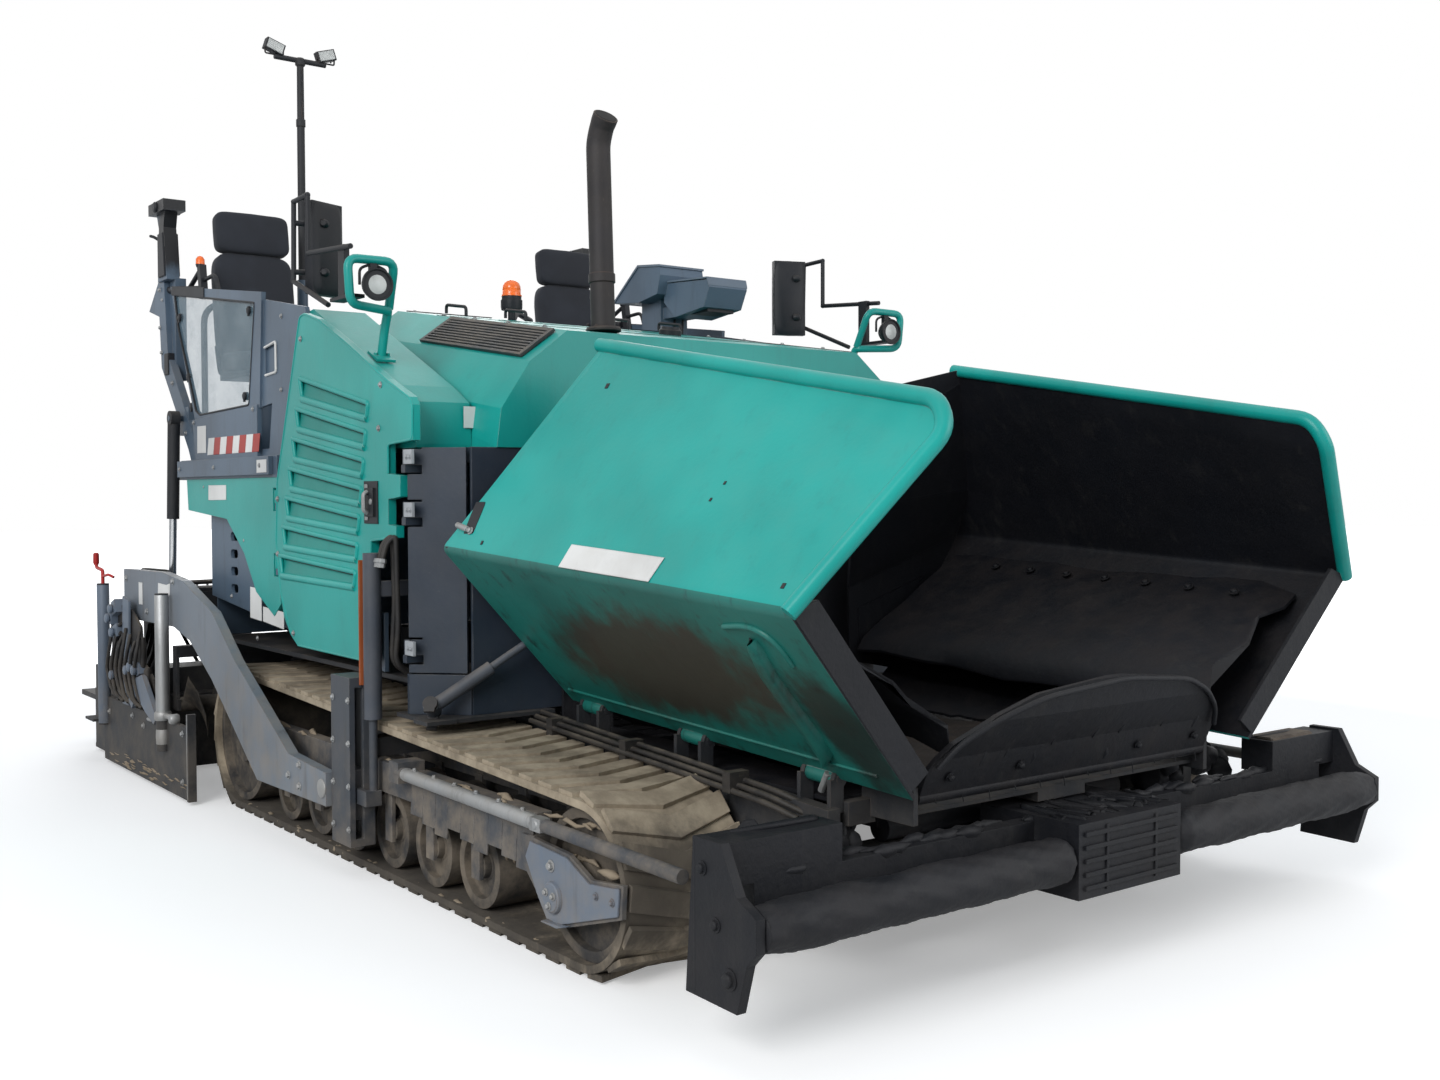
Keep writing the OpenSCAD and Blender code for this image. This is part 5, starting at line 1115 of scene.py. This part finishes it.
def hopper():
    # crust of old mix over the hopper floor
    crust = Piece("hopper_crust", "mix")
    nx, ny, reach = 60, 44, 0.545
    rings = []
    for i in range(nx + 1):
        x = 1.22 + 1.48 * i / nx
        top = []
        for y in [reach * (2 * j / ny - 1) for j in range(ny + 1)]:
            top.append(V((x, y, 0.588 + 0.012 * wobble(x, y) + 0.064 * max(0, abs(y) - 0.45))))
        rings.append(top + [v - V((0, 0, 0.012)) for v in reversed(top)])
    crust.loft(rings)
    crust.done(0, "dark_paint", 80)
    for name, s in SIDES:
        e = Piece("hopper_skirt_" + name, "liner", "tractor", s)
        section = ((0.54, 0.612), (0.6, 0.618), (0.68, 0.65), (0.76, 0.695), (0.82, 0.745))
        rings = []
        for k in range(30):
            x = 1.3 + 1.43 * k / 29
            row = [V((x, y + 0.006 * wobble(9 * x, z), z + 0.01 * wobble(3 * x, 7 * y))) for y, z in section]
            rings.append(row + [q - V((0, 0, 0.01)) for q in reversed(row)])
        e.loft(rings)
        e.done(0, "dark_paint", 60)
        b = Piece("front_crust_" + name, "caked", "tractor", s)
        for k in range(16):
            x, y, z = 2.73 + rng.uniform(0, 0.06), 0.76 + 0.026 * k, 0.455 + rng.uniform(-0.02, 0.05)
            b.lump([(x, y + 0.03 * i - 0.03, z + 0.012 * math.sin(2 * i + k)) for i in range(4)],
                rng.uniform(0.035, 0.055), 9)
        b.done(0, "dark_paint", 60)
    a = Piece("apron_lip", "caked", "front_apron")
    arch = [(-0.7, 0.7), (-0.65, 0.772), (-0.52, 0.848), (-0.36, 0.902), (0, 0.934), (0.36, 0.902), (0.52, 0.848),
        (0.65, 0.772), (0.7, 0.7)]

    def lip_x(z):
        return 3.0 + (z - 0.6) * 0.53 if z < 0.72 else 3.055 + (z - 0.72) * 0.72

    a.tube([(lip_x(z) + 0.01, y, z - 0.004) for y, z in arch], 0.009, 0.06, 10)
    for k in range(14):
        y = rng.uniform(-0.6, 0.6)
        z = rng.uniform(0.63, 0.82)
        a.lump([(lip_x(z) - 0.012, y, z), (lip_x(z - 0.03) - 0.01, y + 0.01, z - 0.03),
            (lip_x(z - 0.07) - 0.006, y, z - 0.07)], rng.uniform(0.006, 0.014), 7)
    for k in range(12):
        y = -0.66 + 0.12 * k
        a.lump([(3.012, y, 0.592), (3.014, y + 0.004, 0.58 - 0.01 * (k % 3))], 0.007, 6, 0.2)
    for y in (-0.62, -0.3, 0.3, 0.62):
        a.bolt((3.035, y, 0.66), (0.9, 0, -0.4), 0.011)
    a.done(0, "dark_paint", 70)
    # push beam: ribs, caked lumps, end brackets' bolts, tool box
    b = Piece("beam_ribs", "caked", "push_beam")
    for k in range(5):
        z = 0.29 + 0.042 * k
        b.box((3.234, -0.235, z), (3.244, 0.235, z + 0.014))
    b.box((3.2345, -0.13, 0.28), (3.241, -0.118, 0.484))
    b.box((3.2345, 0.118, 0.28), (3.241, 0.13, 0.484))
    for k in range(60):
        y = rng.uniform(-1.34, 1.34)
        x = rng.uniform(3.0, 3.055)
        b.lump([(x, y + 0.04 * i, 0.48 + rng.uniform(0.0, 0.006)) for i in range(4)], rng.uniform(0.008, 0.02), 7)
    for k in range(30):
        y = rng.uniform(-0.25, 0.25)
        b.lump([(rng.uniform(2.93, 3.2), y + 0.03 * i, 0.499) for i in range(3)], rng.uniform(0.006, 0.014), 7)
    for _ in both(b):
        b.bolts(1.53, 0.02, 0.014, (3.12, 0.25))
        b.bolts(1.53, 0.014, 0.01, (3.06, 0.38), (3.0, 0.52))
        b.tube([(2.965, 1.518, 0.18), (2.965, 1.518, 0.59)], 0.013, 0, 10)
        b.tube([(2.95, 1.4, 0.585), (2.99, 1.28, 0.596), (2.99, 1.12, 0.594), (2.95, 1.09, 0.585)], 0.01, 0.03, 8)
    b.done(0.001, "dark_paint", 60)
    t = Piece("beam_blocks", "rusty", "push_beam")
    t.loft([flat(y, (2.935, 0.592), (2.95, 0.6), (3.04, 0.6), (3.058, 0.58), (3.058, 0.5), (2.935, 0.5))
            for y in (1.1, 1.115, 1.36, 1.375)])
    t.done(0.004, "dark_paint")
    for name, s in SIDES:
        body = "push_roller_" + name
        r = Piece("roller_skin_" + name, "caked", body, s)
        axis_x, axis_z, radius = 3.185, 0.386, 0.073
        rings = []
        for i in range(91):
            u = i / 90
            y = 0.266 + 1.226 * u
            base = radius
            if u < 0.03:
                base -= 0.023 * (1 - u / 0.03)
            if u > 0.9:
                base -= 0.12 * (u - 0.9)
            ring = []
            for a in turns(40):
                rough = 0.0022 * math.sin(3 * a + 19 * y + s) + 0.0016 * math.sin(7 * a - 41 * y)
                rough += 0.0014 * math.sin(13 * a + 83 * y)
                lift = 0.003 * max(0, math.sin(2 * a + 6 * y + 2 * s)) * math.sin(11 * y)
                rad = min(0.0755, base + rough + lift - 0.001)
                ring.append(V((axis_x + rad * math.cos(a), y, axis_z + rad * math.sin(a))))
            rings.append(ring)
        r.loft(rings)
        r.turned((axis_x, 1.4915, axis_z), (axis_x, 1.4955, axis_z), [(0, 0.06), (1, 0.056)], 32)
        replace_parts(r.done(0, "black_steel", 60), body)


hopper()


# ---------------------------------------------------------------- screed

def screed():
    h = Piece("screed_hoses", "hose", "screed")
    z = Piece("screed_valves", "zinc", "screed")
    d = Piece("screed_boxes", "dark", "screed")
    bright = Piece("screed_hydraulic_blocks", "guard", "screed")
    for _ in both(h, z, d, bright):
        # valve block with cylinders on the tow arm's rear end
        bright.box((-2.3, 1.452, 0.9), (-2.18, 1.502, 1.04))
        bright.turned((-2.2, 1.478, 1.062), (-1.98, 1.478, 1.075),
            [(0, 0.02), (0.05, 0.03), (0.6, 0.03), (0.62, 0.034), (0.8, 0.034), (1, 0.018)], 20)
        for k in range(4):
            x = -2.29 + 0.032 * k
            z.turned((x, 1.476, 1.04), (x, 1.476, 1.078), [(0, 0.011), (0.6, 0.011), (0.65, 0.014), (1, 0.013)], 6)
            h.tube([(x, 1.476, 1.074), (-2.3 + 0.03 * k, 1.46, 1.108), (-2.36, 1.4 - 0.04 * k, 1.085),
                (-2.385, 1.3 - 0.05 * k, 0.9), (-2.42, 1.2 - 0.05 * k, 0.7),
                (-2.45, 1.1 - 0.06 * k, 0.52)], 0.01, 0.06, 8)
        for k in range(3):
            h.tube([(-2.1, 1.48 - 0.02 * k, 0.82), (-2.16, 1.486 - 0.02 * k, 0.7 - 0.03 * k),
                (-2.34, 1.484 - 0.02 * k, 0.6 - 0.04 * k), (-2.44, 1.47 - 0.03 * k, 0.5),
                (-2.48, 1.42, 0.45)], 0.011, 0.07, 8)
        # lifting eyes, bolts and a cover on the screed
        for x, y in ((-2.4, 0.6), (-2.16, 0.6), (-2.4, 1.1)):
            z.tube([(x, y - 0.03, 0.975), (x, y - 0.03, 1.02), (x, y + 0.03, 1.02),
                (x, y + 0.03, 0.975)], 0.007, 0.02, 8)
        for k in range(6):
            z.bolt((-2.16, 0.15 + 0.22 * k, 0.955), (1, 0, 0), 0.009)
            z.bolt((-2.05, 0.12 + 0.23 * k, 0.36), (1, 0, 0), 0.01)
        d.box((-2.385, 0.2, 0.978), (-2.175, 0.8, 1.012))
        d.box((-2.385, 0.95, 0.978), (-2.175, 1.3, 0.998))
        for k in range(5):
            d.box((-2.36 + 0.04 * k, 0.24, 1.012), (-2.345 + 0.04 * k, 0.76, 1.018))
    h.tube([(-2.3, -1.3, 1.02), (-2.33, -0.6, 1.03), (-2.3, 0, 1.035), (-2.33, 0.6, 1.03),
        (-2.3, 1.3, 1.02)], 0.014, 0.2, 10)
    h.tube([(-2.26, -1.3, 1.02), (-2.27, -0.5, 1.035), (-2.25, 0.2, 1.03), (-2.27, 0.7, 1.035),
        (-2.26, 1.3, 1.02)], 0.01, 0.2, 10)
    h.done(0, "black_plastic", 60)
    z.done(0.0005, "zinc")
    d.done(0.0015, "dark_paint")
    bright.done(0.002, "grey_paint")
    rod_y = 1.602  # the plane of the end gates' spindles
    for name, s in SIDES:
        body = "screed_extension_" + name
        back = Piece("gate_gear_" + name, "hose", body, s)
        back.prism([(-2.48, 0.4), (-1.64, 0.4), (-1.68, 0.56), (-1.86, 0.64), (-1.9, 0.82), (-2.06, 0.9),
            (-2.42, 0.93)], 1.576, 1.59)
        for k in range(9):
            x = -2.44 + 0.085 * k
            back.turned((x, 1.596, 0.44), (x + 0.02, 1.6, 0.62 + 0.05 * (k % 4)),
                [(0, 0.014), (0.5, 0.014), (0.52, 0.02), (0.9, 0.02), (1, 0.012)], 12)
        back.done(0.002, "dark_paint")
        g = Piece("gate_fittings_" + name, "zinc", body, s)
        # galvanised front spindle tube with collar and feet
        g.turned((-1.48, rod_y, 0.395), (-1.48, rod_y, 1.019),
            [(0, 0.03), (0.01, 0.0345), (0.985, 0.0345), (1, 0.03)], 28)
        g.turned((-1.48, rod_y, 0.375), (-1.48, rod_y, 0.42), barrel(0.038, 0.043, 0.2), 28)
        g.turned((-1.48, rod_y, 0.225), (-1.48, rod_y, 0.33), [(0, 0.02), (0.3, 0.034), (0.7, 0.036), (1, 0.034)], 24)
        g.tube([(-1.48, rod_y, 0.4), (-1.36, 1.6, 0.405), (-1.3, 1.592, 0.4)], 0.015, 0.03, 10)
        g.turned((-1.31, 1.575, 0.4), (-1.31, 1.622, 0.4), [(0, 0.022), (0.2, 0.026), (0.8, 0.026), (1, 0.02)], 20)
        g.tube([(-1.48, 1.61, 0.385), (-1.62, 1.618, 0.36), (-1.74, 1.6, 0.35)], 0.01, 0.03, 10)
        g.bolts(1.592, 0.011, 0.009, (-2.5, 0.3), (-2.05, 0.33), (-1.85, 0.3), (-1.2, 0.34), (-1.2, 0.1))
        # bright worn front edge of the gate
        g.prism([(-1.1095, 0.03), (-1.1005, 0.03), (-1.1005, 0.446), (-1.1095, 0.446)], 1.56, 1.603)
        g.done(0.0008, "zinc")
        # curved link plates and valve clutter between the two spindles
        arms = Piece("gate_arms_" + name, "guard", body, s)
        arms.prism([(-1.86, 0.555), (-1.74, 0.585), (-1.6, 0.47), (-1.5, 0.385), (-1.55, 0.345), (-1.7, 0.395),
            (-1.86, 0.47)], 1.606, 1.63)
        arms.prism([(-1.96, 0.38), (-1.86, 0.47), (-1.83, 0.555), (-1.9, 0.545), (-2.02, 0.42)], 1.6, 1.624)
        arms.turned((-2.57, rod_y, 0.222), (-2.57, rod_y, 1.019),
            [(0, 0.031), (0.01, 0.0335), (0.99, 0.0335), (1, 0.03)], 24)
        arms.prism([(-2.2, 0.38), (-2.08, 0.38), (-2.05, 0.95), (-2.17, 0.97)], 1.594, 1.606)
        for i in range(7):
            x = rng.uniform(-2.4, -1.75)
            h = rng.uniform(0.46, 0.88)
            arms.box((x, 1.582, h), (x + rng.uniform(0.05, 0.11), 1.626, h + rng.uniform(0.04, 0.09)),
                (rng.uniform(-25, 25), "Y"))
            arms.turned((x + 0.03, 1.6, h + 0.03), (x + 0.03, 1.652, h + 0.03),
                [(0, 0.02), (0.6, 0.02), (0.65, 0.026), (0.9, 0.026), (1, 0.018)], 14)
        arms.done(0.0015, "grey_paint")
        t = Piece("gate_hoses_" + name, "hose", body, s)
        for i in range(7):
            x = -2.34 + 0.085 * i
            t.tube([(x, 1.612, 0.8 - 0.03 * (i % 3)), (x + 0.04, 1.64, 0.7), (x - 0.05, 1.636, 0.56),
                (x + 0.03, 1.632, 0.45 - 0.02 * (i % 2)), (x + 0.1, 1.61, 0.4)], 0.0095, 0.05, 8)
        for i in range(3):
            t.tube([(-2.44, 1.5, 0.42 + 0.05 * i), (-2.4, 1.56, 0.5 + 0.05 * i), (-2.3, 1.608, 0.66 + 0.06 * i),
                (-2.18, 1.612, 0.72 + 0.05 * i)], 0.01, 0.06, 8)
        t.done(0, "black_plastic", 60)
        c = Piece("gate_crank_" + name, "red", body, s)
        c.tube(flat(rod_y, (-2.57, 1.018), (-2.57, 1.095), (-2.7, 1.105), (-2.705, 1.15)), 0.01, 0.02, 10)
        c.turned((-2.705, rod_y, 1.12), (-2.705, rod_y, 1.19), [(0, 0.012), (0.2, 0.017), (0.9, 0.016), (1, 0.01)], 14)
        c.tube([(-2.57, rod_y, 1.06), (-2.46, 1.6, 1.075), (-2.43, 1.58, 1.06)], 0.008, 0.02, 8)
        c.done(0, "dark_paint")
        m = Piece("gate_mud_" + name, "mud", body, s)
        for i in range(34):
            x = rng.uniform(-2.55, -1.15)
            h = rng.uniform(0.03, 0.1)
            m.lump([(x + 0.03 * j, 1.5925, h + rng.uniform(-0.004, 0.004)) for j in range(4)],
                rng.uniform(0.003, 0.007), 6)
        m.done(0, "dark_paint", 80)


screed()


# ---------------------------------------------------------------- stage

def rays(t):
    """The light path node, and 1 for rays that show the background itself."""
    path = t.nodes.new("ShaderNodeLightPath").outputs
    through = calc(t, "MAXIMUM", path["Is Glossy Ray"], path["Is Transmission Ray"])
    return path, calc(t, "MAXIMUM", path["Is Camera Ray"], through)


def stage():
    bpy.ops.mesh.primitive_plane_add(size=120, location=(0, 0, 0))
    floor = bpy.context.object
    floor.name = "floor"
    m, t, b = new_material("floor")
    path, seen = rays(t)
    t.links.new(mix(t, seen, (0.45, 0.45, 0.45), (0.86, 0.86, 0.855)), b.inputs["Base Color"])
    b.inputs["Roughness"].default_value = 0.9
    # far from the machine the floor is the white of the background
    far = ramp(t, put(t, "VectorMath", 1, {"operation": "LENGTH"}, i0=put(t, "NewGeometry")), 4.6, 8.5)
    glow = times(t, calc(t, "MAXIMUM", far, 0.3), path["Is Camera Ray"])
    t.links.new(mix(t, glow, (0, 0, 0), (1, 1, 1)), b.inputs["Emission Color"])
    b.inputs["Emission Strength"].default_value = 1.0
    floor.data.materials.append(m)
    world = bpy.data.worlds.new("world")
    bpy.context.scene.world = world
    world.use_nodes = True
    t = world.node_tree
    bg = t.nodes["Background"]
    path, seen = rays(t)
    t.links.new(mix(t, seen, (0.42, 0.45, 0.49), (1.0, 1.0, 1.0)), bg.inputs["Color"])
    area_light("key", (7, -12, 7.5), (0, 0, 1), (7, 7), 1350)
    area_light("fill", (11, 6, 5), (1, 0, 1), (7, 7), 420)
    area_light("rear", (-12, 5, 6), (0, 0, 1), (7, 7), 420)
    area_light("top", (0, 0, 13), (0, 0, 0), (9, 9), 140)
    bpy.context.scene.view_settings.view_transform = "Standard"


camera()
stage()
